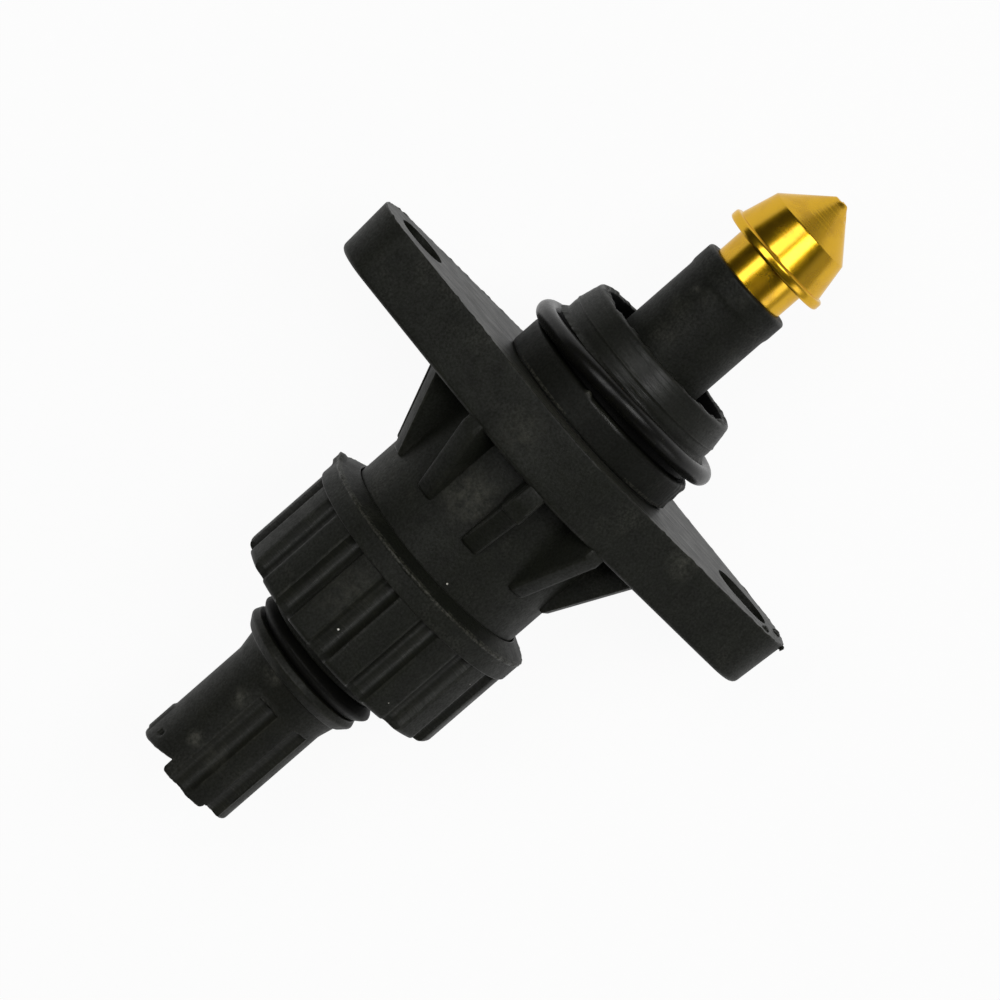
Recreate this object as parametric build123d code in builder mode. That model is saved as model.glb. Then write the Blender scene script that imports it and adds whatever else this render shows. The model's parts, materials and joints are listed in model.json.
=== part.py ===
"""Idle air control valve: stepper motor valve with a brass pintle, two-bolt flange and round connector.

Frame: origin on the valve axis at the mounting face, +X towards the pintle tip,
+Y towards the round bolt hole, millimetres.
"""
import os
from math import cos, pi, radians, sin

from build123d import *

os.makedirs("parts", exist_ok=True)

# mounting flange and its bolt holes
flange_thickness = 7.2
flange_hub_radius = 17.0
ear_radius = 6.4
ear_offset = 27.35
bolt_hole_diameter = 6.4
bolt_hole_offset = 27.75
slot_length = 8.0
slot_offset = 26.5
flange_edge_round = 0.5

# spigot that enters the manifold, its seal groove and its cupped end
shoulder_diameter = 25.3
shoulder_length = 4.0
groove_diameter = 22.9
groove_width = 2.7
seal_bead_diameter = 24.0
seal_bead_length = 0.6
lip_diameter = 22.8
lip_land = 1.4
lip_end_diameter = 21.5
spigot_length = 11.9
spigot_rim_round = 0.5
cup_diameter = 19.2
cup_floor_position = 4.6
cup_floor_round = 0.8
flange_seal_section = 2.0
seal_clearance = 0.03

# snout tube that guides the pintle
snout_diameter = 12.0
snout_head_diameter = 12.3
snout_head_length = 3.2
snout_head_taper = 0.6
snout_length = 24.15
snout_end_round = 0.6

# pintle
stem_diameter = 9.95
sliding_clearance = 0.05
disc_stand_off = 3.55
disc_diameter = 14.2
disc_thickness = 1.2
disc_edge_round = 0.35
seat_base_diameter = 13.0
seat_end_diameter = 11.0
seat_length = 4.4
cone_length = 4.7
tip_diameter = 1.7
stem_rear_position = 2.0
screw_pocket_length = 20.5
key_width = 2.0
key_height = 0.8
key_clearance = 0.2
key_length = 5.0
key_root = 0.4
keyway_length = 16.0

# motor barrel and its gussets
barrel_diameter = 25.6
barrel_length = 33.4
barrel_wall = 1.5
motor_seat_depth = 3.0
gusset_count = 10
gusset_thickness = 2.6
gusset_length = 10.3
gusset_height = 5.1
gusset_toe = 0.4
ledge_length = 4.0
ledge_height = 3.7
ledge_margin = 0.15
web_root = 0.4

# retaining nut
nut_overlap = 10.9
nut_thread_clearance = 0.15
nut_rim_wall = 2.6
nut_rim_length = 3.8
nut_land_step = 0.25
nut_nose_length = 1.15
nut_nose_round = 0.15
nut_wall = 1.8
nut_rear_round = 0.8
nut_hole_clearance = 0.4
flute_count = 15
flute_width = 3.0
flute_depth = 1.25
flute_first_angle = 9.5

# connector tail, turned a little about the axis as it was clamped
connector_turn = 2.5
gasket_thickness = 0.6
clamp_flange_thickness = 2.1
plug_length = 9.5
plug_bore_diameter = 16.8
plug_bore_depth = 6.5
tail_root_diameter = 17.0
tail_root_length = 3.7
tail_seal_section = 2.4
tail_groove_diameter = 13.25
tail_ring_diameter = 17.5
tail_ring_width = 1.95
tail_ring_drop = 0.35
tail_ring_rear_drop = 0.8
flare_diameter = 14.7
flare_length = 2.7
shroud_diameter = 13.56
shroud_length = 14.75
shroud_end_round = 0.35
socket_diameter = 10.8
socket_depth = 12.95
wide_keyway_width = 3.1
narrow_keyway_width = 2.8
narrow_keyway_angle = 46.5
keyway_depth = 0.9
keyway_land = 0.7
mouth_notch_depth = 1.6
mouth_notch_start = 2.75
mouth_notch_end = 6.7
small_notch_depth = 0.75
small_notch_start = 3.6
small_notch_end = 7.2
side_rib_length = 4.0
side_rib_width = 1.8
side_rib_height = 0.22
side_rib_root = 0.8
side_rib_set_back = 0.6

# connector terminals
terminal_count = 4
terminal_diameter = 1.5
terminal_pitch_radius = 2.7
terminal_recess = 4.95
terminal_inner_length = 1.6
terminal_lead_in_length = 0.8
terminal_lead_in_depth = 0.35

# stepper motor
stator_clearance = 0.1
sheet_thickness = 0.8
claw_count = 6
claw_distance = 6.55
claw_thickness = 0.6
claw_root_width = 4.0
claw_tip_width = 2.0
claw_gap = 1.2
bobbin_bore_radius = 7.6
bobbin_wall = 0.6
coil_margin = 0.26
fit_gap = 0.04
screw_diameter = 4.0
screw_end_chamfer = 0.4
screw_front_position = 15.0
air_gap = 0.35
magnet_end_gap = 2.2
magnet_wall = 2.0
hub_flange_length = 0.6
hub_flange_radius = 3.6
bush_radius = 3.5
bush_flange_radius = 4.6
bush_flange_thickness = 0.7
bush_length = 1.4
running_clearance = 0.03
end_plate_thickness = 1.0
end_plate_hole_clearance = 0.6
bearing_outer_diameter = 11.0
bearing_width = 3.9
bearing_ring_wall = 0.9
ball_count = 7
boss_wall = 1.0
shaft_overhang = 0.3
washer_thickness = 0.5
washer_width = 1.8

# radii and stations along the axis that follow from the sizes above
shoulder_radius = shoulder_diameter / 2
groove_radius = groove_diameter / 2
groove_end = shoulder_length + groove_width
lip_radius = lip_diameter / 2
barrel_radius = barrel_diameter / 2
motor_bore_radius = barrel_radius - barrel_wall
stem_radius = stem_diameter / 2
guide_bore_radius = stem_radius + sliding_clearance
screw_radius = screw_diameter / 2
motor_seat = -motor_seat_depth
motor_space = barrel_length + gasket_thickness - plug_length - motor_seat_depth
stator_half_length = (motor_space - washer_thickness - end_plate_thickness) / 2
motor_middle = motor_seat - stator_half_length
motor_rear = motor_middle - stator_half_length
stator_radius = motor_bore_radius - stator_clearance
plate_rear = motor_rear - end_plate_thickness
bearing_rear = plate_rear - bearing_width
barrel_rear = -barrel_length
plug_front = plate_rear - washer_thickness
clamp_front = barrel_rear - gasket_thickness
clamp_rear = clamp_front - clamp_flange_thickness
nut_rear = clamp_rear - nut_wall
tail_groove_front = clamp_rear - tail_root_length
tail_groove_width = tail_seal_section + 2 * seal_clearance
tail_groove_rear = tail_groove_front - tail_groove_width
ring_rear = tail_groove_rear - tail_ring_width
flare_rear = ring_rear - flare_length
mouth = flare_rear - shroud_length
socket_floor = mouth + socket_depth
plug_bore_floor = plug_front - plug_bore_depth
disc_rear = snout_length + disc_stand_off
disc_front = disc_rear + disc_thickness
seat_end = disc_front + seat_length
tip = seat_end + cone_length


# valve body: snout, cupped spigot and barrel turn about the axis, the flange is a plate across it
with BuildPart() as gussets:
    # thin webs from the barrel to the back of the flange, all of one slope
    with BuildSketch(*[Plane.XZ.rotated((360 / gusset_count * n, 0, 0)) for n in range(gusset_count)]):
        with BuildLine():
            Polyline(
                (-flange_thickness, barrel_radius - web_root),
                (-flange_thickness, barrel_radius + gusset_height),
                (-flange_thickness - gusset_length, barrel_radius + gusset_toe),
                (-flange_thickness - gusset_length, barrel_radius - web_root),
                close=True,
            )
        make_face()
    extrude(amount=gusset_thickness / 2, both=True)
    # the webs stop at the outline of the flange hub
    with BuildSketch(Plane.YZ.offset(-flange_thickness - gusset_length)):
        Circle(flange_hub_radius)
        with Locations((ear_offset, 0), (-ear_offset, 0)):
            Circle(ear_radius)
        make_hull()
    extrude(amount=gusset_length, mode=Mode.INTERSECT)

with BuildPart() as valve_body:
    # flange plate with two ears, softened along both edges
    with BuildSketch(Plane.YZ.offset(-flange_thickness)):
        Circle(flange_hub_radius)
        with Locations((ear_offset, 0), (-ear_offset, 0)):
            Circle(ear_radius)
        make_hull()
    extrude(amount=flange_thickness)
    fillet(valve_body.edges().filter_by(Plane.YZ), flange_edge_round)
    # turned outline of spigot, snout and barrel with the bore they share
    with BuildSketch(Plane.XY) as body_profile:
        with BuildLine():
            Polyline(
                (barrel_rear, motor_bore_radius),
                (barrel_rear, barrel_radius),
                (motor_seat / 2, barrel_radius),
                (motor_seat / 2, shoulder_radius),
                (shoulder_length, shoulder_radius),
                (shoulder_length, groove_radius),
                (groove_end, groove_radius),
                (groove_end, seal_bead_diameter / 2),
                (groove_end + seal_bead_length, lip_radius),
                (groove_end + lip_land, lip_radius),
                (spigot_length, lip_end_diameter / 2),
                (spigot_length, cup_diameter / 2),
                (cup_floor_position, cup_diameter / 2),
                (cup_floor_position, snout_diameter / 2),
                (snout_length - snout_head_length, snout_diameter / 2),
                (snout_length - snout_head_length + snout_head_taper, snout_head_diameter / 2),
                (snout_length, snout_head_diameter / 2),
                (snout_length, guide_bore_radius),
                (motor_seat, guide_bore_radius),
                (motor_seat, motor_bore_radius),
                close=True,
            )
        make_face()
        corners = body_profile.vertices()
        fillet(corners.sort_by_distance((snout_length, snout_head_diameter / 2))[0], snout_end_round)
        fillet(corners.sort_by_distance((spigot_length, lip_end_diameter / 2))[0], spigot_rim_round)
        fillet(corners.sort_by_distance((spigot_length, cup_diameter / 2))[0], spigot_rim_round)
        fillet(corners.sort_by_distance((cup_floor_position, snout_diameter / 2))[0], cup_floor_round)
    revolve(axis=Axis.X)
    add(gussets.part)
    # the two webs on the narrow side of the hub carry a level ledge next to the flange
    with BuildSketch(Plane.XZ, Plane.XZ.rotated((180, 0, 0))):
        with BuildLine():
            Polyline(
                (-flange_thickness, barrel_radius - web_root),
                (-flange_thickness, barrel_radius + ledge_height),
                (-flange_thickness - ledge_length, barrel_radius + ledge_height),
                (-flange_thickness - ledge_length, barrel_radius - web_root),
                close=True,
            )
        make_face()
    extrude(amount=gusset_thickness / 2 + ledge_margin, both=True)
    # motor bore and guide bore through the flange plate
    with BuildSketch(Plane.YZ.offset(barrel_rear)):
        Circle(motor_bore_radius)
    extrude(amount=motor_seat - barrel_rear, mode=Mode.SUBTRACT)
    with BuildSketch(Plane.YZ.offset(motor_seat)):
        Circle(guide_bore_radius)
    extrude(amount=snout_length - motor_seat, mode=Mode.SUBTRACT)
    # round bolt hole in one ear, slot in the other
    with BuildSketch(Plane.YZ.offset(-flange_thickness)):
        with Locations((bolt_hole_offset, 0)):
            Circle(bolt_hole_diameter / 2)
        with Locations((-slot_offset, 0)):
            SlotOverall(slot_length, bolt_hole_diameter)
    extrude(amount=flange_thickness, mode=Mode.SUBTRACT)
    # two keys in the guide bore stop the pintle from turning
    key_middle_radius = guide_bore_radius + (key_root - key_height) / 2
    with BuildSketch(Plane.YZ.offset(cup_floor_position)):
        with Locations((key_middle_radius, 0), (-key_middle_radius, 0)):
            Rectangle(key_height + key_root, key_width)
    extrude(amount=key_length)
valve_body.part.label = "valve_body"
export_step(valve_body.part, "parts/valve_body.step")

# flange seal: round-section ring that lies against the bead in front of its groove
flange_seal_radius = groove_radius + seal_clearance + flange_seal_section / 2
with BuildPart() as flange_o_ring:
    with BuildSketch(Plane.XY):
        with Locations((groove_end - seal_clearance - flange_seal_section / 2, flange_seal_radius)):
            Circle(flange_seal_section / 2)
    revolve(axis=Axis.X)
flange_o_ring.part.label = "flange_o_ring"
export_step(flange_o_ring.part, "parts/flange_o_ring.step")

# pintle: turned brass, stem with a screw pocket, stop disc, seat taper and cone
with BuildPart() as pintle:
    with BuildSketch(Plane.XY) as pintle_profile:
        with BuildLine():
            Polyline(
                (stem_rear_position, screw_radius + sliding_clearance),
                (stem_rear_position, stem_radius),
                (disc_rear, stem_radius),
                (disc_rear, disc_diameter / 2),
                (disc_front, disc_diameter / 2),
                (disc_front, seat_base_diameter / 2),
                (seat_end, seat_end_diameter / 2),
                (tip, tip_diameter / 2),
                (tip, 0),
                (stem_rear_position + screw_pocket_length, 0),
                (stem_rear_position + screw_pocket_length, screw_radius + sliding_clearance),
                close=True,
            )
        make_face()
        corners = pintle_profile.vertices()
        fillet(corners.sort_by_distance((disc_rear, disc_diameter / 2))[0], disc_edge_round)
        fillet(corners.sort_by_distance((disc_front, disc_diameter / 2))[0], disc_edge_round)
        fillet(corners.sort_by_distance((tip, tip_diameter / 2))[0], tip_diameter / 4)
    revolve(axis=Axis.X)
    # keyways along the hidden part of the stem, on both sides
    with BuildSketch(Plane.YZ.offset(stem_rear_position)):
        with Locations((stem_radius, 0), (-stem_radius, 0)):
            Rectangle(2 * (key_height + key_clearance), key_width + 2 * key_clearance)
    extrude(amount=keyway_length, mode=Mode.SUBTRACT)
pintle.part.label = "pintle"
export_step(pintle.part, "parts/pintle.step")

# lead screw: the motor shaft, its threaded front end runs in the pintle pocket
with BuildPart() as lead_screw:
    with BuildSketch(Plane.YZ.offset(bearing_rear - shaft_overhang)):
        Circle(screw_radius)
    extrude(amount=screw_front_position - bearing_rear + shaft_overhang)
    chamfer(lead_screw.edges().filter_by(GeomType.CIRCLE).group_by(Axis.X)[-1], screw_end_chamfer)
lead_screw.part.label = "lead_screw"
export_step(lead_screw.part, "parts/lead_screw.step")

# rotor: plastic hub moulded on the shaft inside a magnet ring
magnet_radius = claw_distance - air_gap
magnet_length = 2 * (stator_half_length - magnet_end_gap)
with BuildPart() as rotor_hub:
    with BuildSketch(Plane.XY):
        with BuildLine():
            Polyline(
                (motor_middle - magnet_length / 2 - hub_flange_length, screw_radius),
                (motor_middle - magnet_length / 2 - hub_flange_length, hub_flange_radius),
                (motor_middle - magnet_length / 2, hub_flange_radius),
                (motor_middle - magnet_length / 2, magnet_radius - magnet_wall),
                (motor_middle + magnet_length / 2, magnet_radius - magnet_wall),
                (motor_middle + magnet_length / 2, hub_flange_radius),
                (motor_middle + magnet_length / 2 + hub_flange_length, hub_flange_radius),
                (motor_middle + magnet_length / 2 + hub_flange_length, screw_radius),
                close=True,
            )
        make_face()
    revolve(axis=Axis.X)
rotor_hub.part.label = "rotor_hub"
export_step(rotor_hub.part, "parts/rotor_hub.step")

with BuildPart() as rotor_magnet:
    with BuildSketch(Plane.YZ.offset(motor_middle)):
        Circle(magnet_radius)
        Circle(magnet_radius - magnet_wall, mode=Mode.SUBTRACT)
    extrude(amount=magnet_length / 2, both=True)
rotor_magnet.part.label = "rotor_magnet"
export_step(rotor_magnet.part, "parts/rotor_magnet.step")

# front bush: flanged sleeve in the front stator cup that carries the shaft
with BuildPart() as front_bush:
    with BuildSketch(Plane.XY):
        with BuildLine():
            Polyline(
                (motor_seat - bush_length, screw_radius + running_clearance),
                (motor_seat - bush_length, bush_radius),
                (motor_seat, bush_radius),
                (motor_seat, bush_flange_radius),
                (motor_seat + bush_flange_thickness, bush_flange_radius),
                (motor_seat + bush_flange_thickness, screw_radius + running_clearance),
                close=True,
            )
        make_face()
    revolve(axis=Axis.X)
front_bush.part.label = "front_bush"
export_step(front_bush.part, "parts/front_bush.step")

# stator cups: deep-drawn cans with claw poles bent along the rotor, rear one turned about
claw_length = stator_half_length - sheet_thickness - claw_gap
claw_pitch = 360 / claw_count
with BuildPart() as front_stator_cup:
    with BuildSketch(Plane.XY):
        with BuildLine():
            Polyline(
                (motor_seat, bush_radius + fit_gap),
                (motor_seat, stator_radius),
                (motor_middle, stator_radius),
                (motor_middle, stator_radius - sheet_thickness),
                (motor_seat - sheet_thickness, stator_radius - sheet_thickness),
                (motor_seat - sheet_thickness, bush_radius + fit_gap),
                close=True,
            )
        make_face()
    revolve(axis=Axis.X)
    with BuildSketch(
        *[Plane.XY.rotated((claw_pitch * n, 0, 0)).offset(claw_distance) for n in range(claw_count)]
    ):
        with BuildLine():
            Polyline(
                (motor_seat - sheet_thickness / 2, claw_root_width / 2),
                (motor_seat - sheet_thickness - claw_length, claw_tip_width / 2),
                (motor_seat - sheet_thickness - claw_length, -claw_tip_width / 2),
                (motor_seat - sheet_thickness / 2, -claw_root_width / 2),
                close=True,
            )
        make_face()
    extrude(amount=claw_thickness)
front_stator_cup.part.label = "front_stator_cup"
export_step(front_stator_cup.part, "parts/front_stator_cup.step")

with BuildPart() as rear_stator_cup:
    add(mirror(front_stator_cup.part, Plane.YZ.offset(motor_middle), mode=Mode.PRIVATE))
rear_stator_cup.part.label = "rear_stator_cup"
export_step(rear_stator_cup.part, "parts/rear_stator_cup.step")

# claw plates: flat rings with claws that reach between the claws of the cups
with BuildPart() as front_claw_plate:
    with BuildSketch(Plane.YZ.offset(motor_middle)):
        Circle(stator_radius - sheet_thickness - fit_gap)
        Circle(claw_distance, mode=Mode.SUBTRACT)
    extrude(amount=sheet_thickness)
    with BuildSketch(
        *[Plane.XY.rotated((claw_pitch * (n + 0.5), 0, 0)).offset(claw_distance) for n in range(claw_count)]
    ):
        with BuildLine():
            Polyline(
                (motor_middle + sheet_thickness / 2, claw_root_width / 2),
                (motor_middle + sheet_thickness + claw_length, claw_tip_width / 2),
                (motor_middle + sheet_thickness + claw_length, -claw_tip_width / 2),
                (motor_middle + sheet_thickness / 2, -claw_root_width / 2),
                close=True,
            )
        make_face()
    extrude(amount=claw_thickness)
front_claw_plate.part.label = "front_claw_plate"
export_step(front_claw_plate.part, "parts/front_claw_plate.step")

with BuildPart() as rear_claw_plate:
    add(mirror(front_claw_plate.part, Plane.YZ.offset(motor_middle), mode=Mode.PRIVATE))
rear_claw_plate.part.label = "rear_claw_plate"
export_step(rear_claw_plate.part, "parts/rear_claw_plate.step")

# bobbins and their copper windings
bobbin_front = motor_seat - sheet_thickness - fit_gap
bobbin_rear = motor_middle + sheet_thickness + fit_gap
bobbin_flange_radius = stator_radius - sheet_thickness - fit_gap
with BuildPart() as front_bobbin:
    with BuildSketch(Plane.XY):
        with BuildLine():
            Polyline(
                (bobbin_front, bobbin_bore_radius),
                (bobbin_front, bobbin_flange_radius),
                (bobbin_front - bobbin_wall, bobbin_flange_radius),
                (bobbin_front - bobbin_wall, bobbin_bore_radius + bobbin_wall),
                (bobbin_rear + bobbin_wall, bobbin_bore_radius + bobbin_wall),
                (bobbin_rear + bobbin_wall, bobbin_flange_radius),
                (bobbin_rear, bobbin_flange_radius),
                (bobbin_rear, bobbin_bore_radius),
                close=True,
            )
        make_face()
    revolve(axis=Axis.X)
front_bobbin.part.label = "front_bobbin"
export_step(front_bobbin.part, "parts/front_bobbin.step")

with BuildPart() as rear_bobbin:
    add(mirror(front_bobbin.part, Plane.YZ.offset(motor_middle), mode=Mode.PRIVATE))
rear_bobbin.part.label = "rear_bobbin"
export_step(rear_bobbin.part, "parts/rear_bobbin.step")

with BuildPart() as front_coil:
    with BuildSketch(Plane.YZ.offset(bobbin_rear + bobbin_wall + fit_gap)):
        Circle(bobbin_flange_radius - coil_margin)
        Circle(bobbin_bore_radius + bobbin_wall + fit_gap, mode=Mode.SUBTRACT)
    extrude(amount=bobbin_front - bobbin_rear - 2 * (bobbin_wall + fit_gap))
front_coil.part.label = "front_coil"
export_step(front_coil.part, "parts/front_coil.step")

with BuildPart() as rear_coil:
    add(mirror(front_coil.part, Plane.YZ.offset(motor_middle), mode=Mode.PRIVATE))
rear_coil.part.label = "rear_coil"
export_step(rear_coil.part, "parts/rear_coil.step")

# motor end plate: disc behind the stators with a boss for the ball bearing
bearing_radius = bearing_outer_diameter / 2
with BuildPart() as motor_end_plate:
    with BuildSketch(Plane.XY):
        with BuildLine():
            Polyline(
                (motor_rear, screw_radius + end_plate_hole_clearance),
                (motor_rear, stator_radius),
                (plate_rear, stator_radius),
                (plate_rear, bearing_radius + fit_gap + boss_wall),
                (bearing_rear, bearing_radius + fit_gap + boss_wall),
                (bearing_rear, bearing_radius + fit_gap),
                (plate_rear, bearing_radius + fit_gap),
                (plate_rear, screw_radius + end_plate_hole_clearance),
                close=True,
            )
        make_face()
    revolve(axis=Axis.X)
motor_end_plate.part.label = "motor_end_plate"
export_step(motor_end_plate.part, "parts/motor_end_plate.step")

# rear ball bearing: two rings with a row of balls between them
bearing_front = plate_rear - fit_gap
bearing_middle = (bearing_front + bearing_rear) / 2
inner_race_radius = screw_radius + bearing_ring_wall
outer_race_radius = bearing_radius - bearing_ring_wall
with BuildPart() as bearing_outer_ring:
    with BuildSketch(Plane.YZ.offset(bearing_rear)):
        Circle(bearing_radius)
        Circle(outer_race_radius, mode=Mode.SUBTRACT)
    extrude(amount=bearing_front - bearing_rear)
bearing_outer_ring.part.label = "bearing_outer_ring"
export_step(bearing_outer_ring.part, "parts/bearing_outer_ring.step")

with BuildPart() as bearing_inner_ring:
    with BuildSketch(Plane.YZ.offset(bearing_rear)):
        Circle(inner_race_radius)
        Circle(screw_radius, mode=Mode.SUBTRACT)
    extrude(amount=bearing_front - bearing_rear)
bearing_inner_ring.part.label = "bearing_inner_ring"
export_step(bearing_inner_ring.part, "parts/bearing_inner_ring.step")

ball_radius = (outer_race_radius - inner_race_radius) / 2 - running_clearance
ball_circle = (outer_race_radius + inner_race_radius) / 2
with BuildPart() as bearing_balls:
    with Locations(
        *[
            (bearing_middle, ball_circle * cos(angle), ball_circle * sin(angle))
            for angle in [2 * pi * n / ball_count for n in range(ball_count)]
        ]
    ):
        Sphere(ball_radius)
bearing_balls.part.label = "bearing_balls"
export_step(bearing_balls.part, "parts/bearing_balls.step")

# spring washer, pressed flat between the connector plug and the motor
with BuildPart() as spring_washer:
    with BuildSketch(Plane.YZ.offset(plug_front)):
        Circle(stator_radius)
        Circle(stator_radius - washer_width, mode=Mode.SUBTRACT)
    extrude(amount=washer_thickness)
spring_washer.part.label = "spring_washer"
export_step(spring_washer.part, "parts/spring_washer.step")

# cover gasket between the barrel end and the clamp flange of the tail
with BuildPart() as cover_gasket:
    with BuildSketch(Plane.YZ.offset(clamp_front)):
        Circle(barrel_radius)
        Circle(motor_bore_radius, mode=Mode.SUBTRACT)
    extrude(amount=gasket_thickness)
cover_gasket.part.label = "cover_gasket"
export_step(cover_gasket.part, "parts/cover_gasket.step")

# connector tail: motor plug, clamp flange, seal groove, ring, flare and keyed shroud in one moulding
tail_plane = Plane.YZ.rotated((-connector_turn, 0, 0))
tail_root_radius = tail_root_diameter / 2
shroud_radius = shroud_diameter / 2
ring_radius = tail_ring_diameter / 2
terminal_angles = [2 * pi / terminal_count * (n + 0.5) for n in range(terminal_count)]
terminal_points = [(terminal_pitch_radius * cos(a), terminal_pitch_radius * sin(a)) for a in terminal_angles]
wide_round = (wide_keyway_width**2 / 4 + keyway_depth**2) / (2 * keyway_depth)
narrow_round = (narrow_keyway_width**2 / 4 + keyway_depth**2) / (2 * keyway_depth)
with BuildPart() as connector_tail:
    with BuildSketch(Plane.XY) as tail_profile:
        with BuildLine():
            Polyline(
                (plug_front, plug_bore_diameter / 2),
                (plug_front, stator_radius),
                (clamp_front, stator_radius),
                (clamp_front, barrel_radius),
                (clamp_rear, barrel_radius),
                (clamp_rear, tail_root_radius),
                (tail_groove_front, tail_root_radius),
                (tail_groove_front, tail_groove_diameter / 2),
                (tail_groove_rear, tail_groove_diameter / 2),
                (tail_groove_rear, ring_radius - tail_ring_drop),
                ((tail_groove_rear + ring_rear) / 2, ring_radius),
                (ring_rear, ring_radius - tail_ring_rear_drop),
                (ring_rear, flare_diameter / 2),
                (flare_rear, shroud_radius),
                (mouth, shroud_radius),
                (mouth, socket_diameter / 2),
                (socket_floor, socket_diameter / 2),
                (socket_floor, 0),
                (plug_bore_floor, 0),
                (plug_bore_floor, plug_bore_diameter / 2),
                close=True,
            )
        make_face()
        corners = tail_profile.vertices()
        fillet(corners.sort_by_distance((mouth, shroud_radius))[0], shroud_end_round)
    revolve(axis=Axis.X)
    # round-bottomed keyways up to the flare, a wide one on top and a narrow one beside it
    with BuildSketch(tail_plane.offset(mouth)):
        with Locations((0, shroud_radius - keyway_depth + wide_round)):
            Circle(wide_round)
        with Locations(
            (
                -(shroud_radius - keyway_depth + narrow_round) * sin(radians(narrow_keyway_angle)),
                (shroud_radius - keyway_depth + narrow_round) * cos(radians(narrow_keyway_angle)),
            )
        ):
            Circle(narrow_round)
    extrude(amount=shroud_length - keyway_land, mode=Mode.SUBTRACT)
    # slanted notches in the mouth, which leave a blunt tab with the wide keyway between them
    with BuildSketch(Plane.XY.rotated((-connector_turn, 0, 0))):
        with BuildLine():
            Polyline(
                (mouth, mouth_notch_start),
                (mouth + mouth_notch_depth, mouth_notch_start),
                (mouth, mouth_notch_end),
                close=True,
            )
        make_face()
        with BuildLine():
            Polyline(
                (mouth, -small_notch_start),
                (mouth + small_notch_depth, -small_notch_start),
                (mouth, -small_notch_end),
                close=True,
            )
        make_face()
    extrude(amount=shroud_diameter, mode=Mode.SUBTRACT)
    # low rib on the side of the mouth
    with BuildSketch(tail_plane.offset(mouth + side_rib_set_back)):
        with Locations((shroud_radius + (side_rib_height - side_rib_root) / 2, 0)):
            Rectangle(side_rib_height + side_rib_root, side_rib_width)
    extrude(amount=side_rib_length)
    # holes for the terminals
    with BuildSketch(tail_plane.offset(socket_floor)):
        with Locations(*terminal_points):
            Circle(terminal_diameter / 2)
    extrude(amount=plug_bore_floor - socket_floor, mode=Mode.SUBTRACT)
connector_tail.part.label = "connector_tail"
export_step(connector_tail.part, "parts/connector_tail.step")

# terminals: round pins with a tapered lead-in at the connector end
terminal_end = mouth + terminal_recess
terminal_start = plug_bore_floor + terminal_inner_length
for number, (pin_y, pin_z) in enumerate(terminal_points, start=1):
    with BuildPart() as terminal:
        with BuildSketch(tail_plane.offset(terminal_end)):
            with Locations((pin_y, pin_z)):
                Circle(terminal_diameter / 2)
        extrude(amount=terminal_start - terminal_end)
        pin_tip = terminal.edges().filter_by(GeomType.CIRCLE).group_by(Axis.X)[0]
        chamfer(pin_tip, terminal_lead_in_length, terminal_lead_in_depth)
    terminal.part.label = f"terminal_{number}"
    export_step(terminal.part, f"parts/terminal_{number}.step")

# connector seal: round-section ring in front of the tail ring
with BuildPart() as connector_o_ring:
    with BuildSketch(Plane.XY):
        with Locations(
            (
                (tail_groove_front + tail_groove_rear) / 2,
                tail_groove_diameter / 2 + seal_clearance + tail_seal_section / 2,
            )
        ):
            Circle(tail_seal_section / 2)
    revolve(axis=Axis.X)
connector_o_ring.part.label = "connector_o_ring"
export_step(connector_o_ring.part, "parts/connector_o_ring.step")

# retaining nut: fluted collar over the barrel end, its back wall holds the clamp flange
nut_front = barrel_rear + nut_overlap
nut_bore_radius = barrel_radius + nut_thread_clearance
nut_rim_radius = nut_bore_radius + nut_rim_wall
nut_land_radius = nut_rim_radius - nut_land_step
rim_rear = nut_front - nut_rim_length
flute_round = (flute_width**2 / 4 + flute_depth**2) / (2 * flute_depth)
with BuildPart() as retaining_nut:
    with BuildSketch(Plane.XY) as nut_profile:
        with BuildLine():
            Polyline(
                (nut_front, nut_bore_radius),
                (nut_front - nut_nose_length, nut_rim_radius),
                (rim_rear, nut_rim_radius),
                (rim_rear, nut_land_radius),
                (nut_rear, nut_land_radius),
                (nut_rear, tail_root_radius + nut_hole_clearance),
                (clamp_rear, tail_root_radius + nut_hole_clearance),
                (clamp_rear, nut_bore_radius),
                close=True,
            )
        make_face()
        corners = nut_profile.vertices()
        fillet(corners.sort_by_distance((nut_rear, nut_land_radius))[0], nut_rear_round)
        fillet(corners.sort_by_distance((nut_front - nut_nose_length, nut_rim_radius))[0], nut_nose_round)
    revolve(axis=Axis.X)
    # grip flutes from the rear end up to the plain rim
    with BuildSketch(Plane.YZ.offset(nut_rear)):
        with PolarLocations(
            nut_land_radius - flute_depth + flute_round, flute_count, start_angle=90 - flute_first_angle
        ):
            Circle(flute_round)
    extrude(amount=rim_rear - nut_rear, mode=Mode.SUBTRACT)
retaining_nut.part.label = "retaining_nut"
export_step(retaining_nut.part, "parts/retaining_nut.step")
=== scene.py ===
import json
import math

import bmesh
import bpy
import numpy as np
from mathutils import Matrix, Vector, noise

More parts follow.
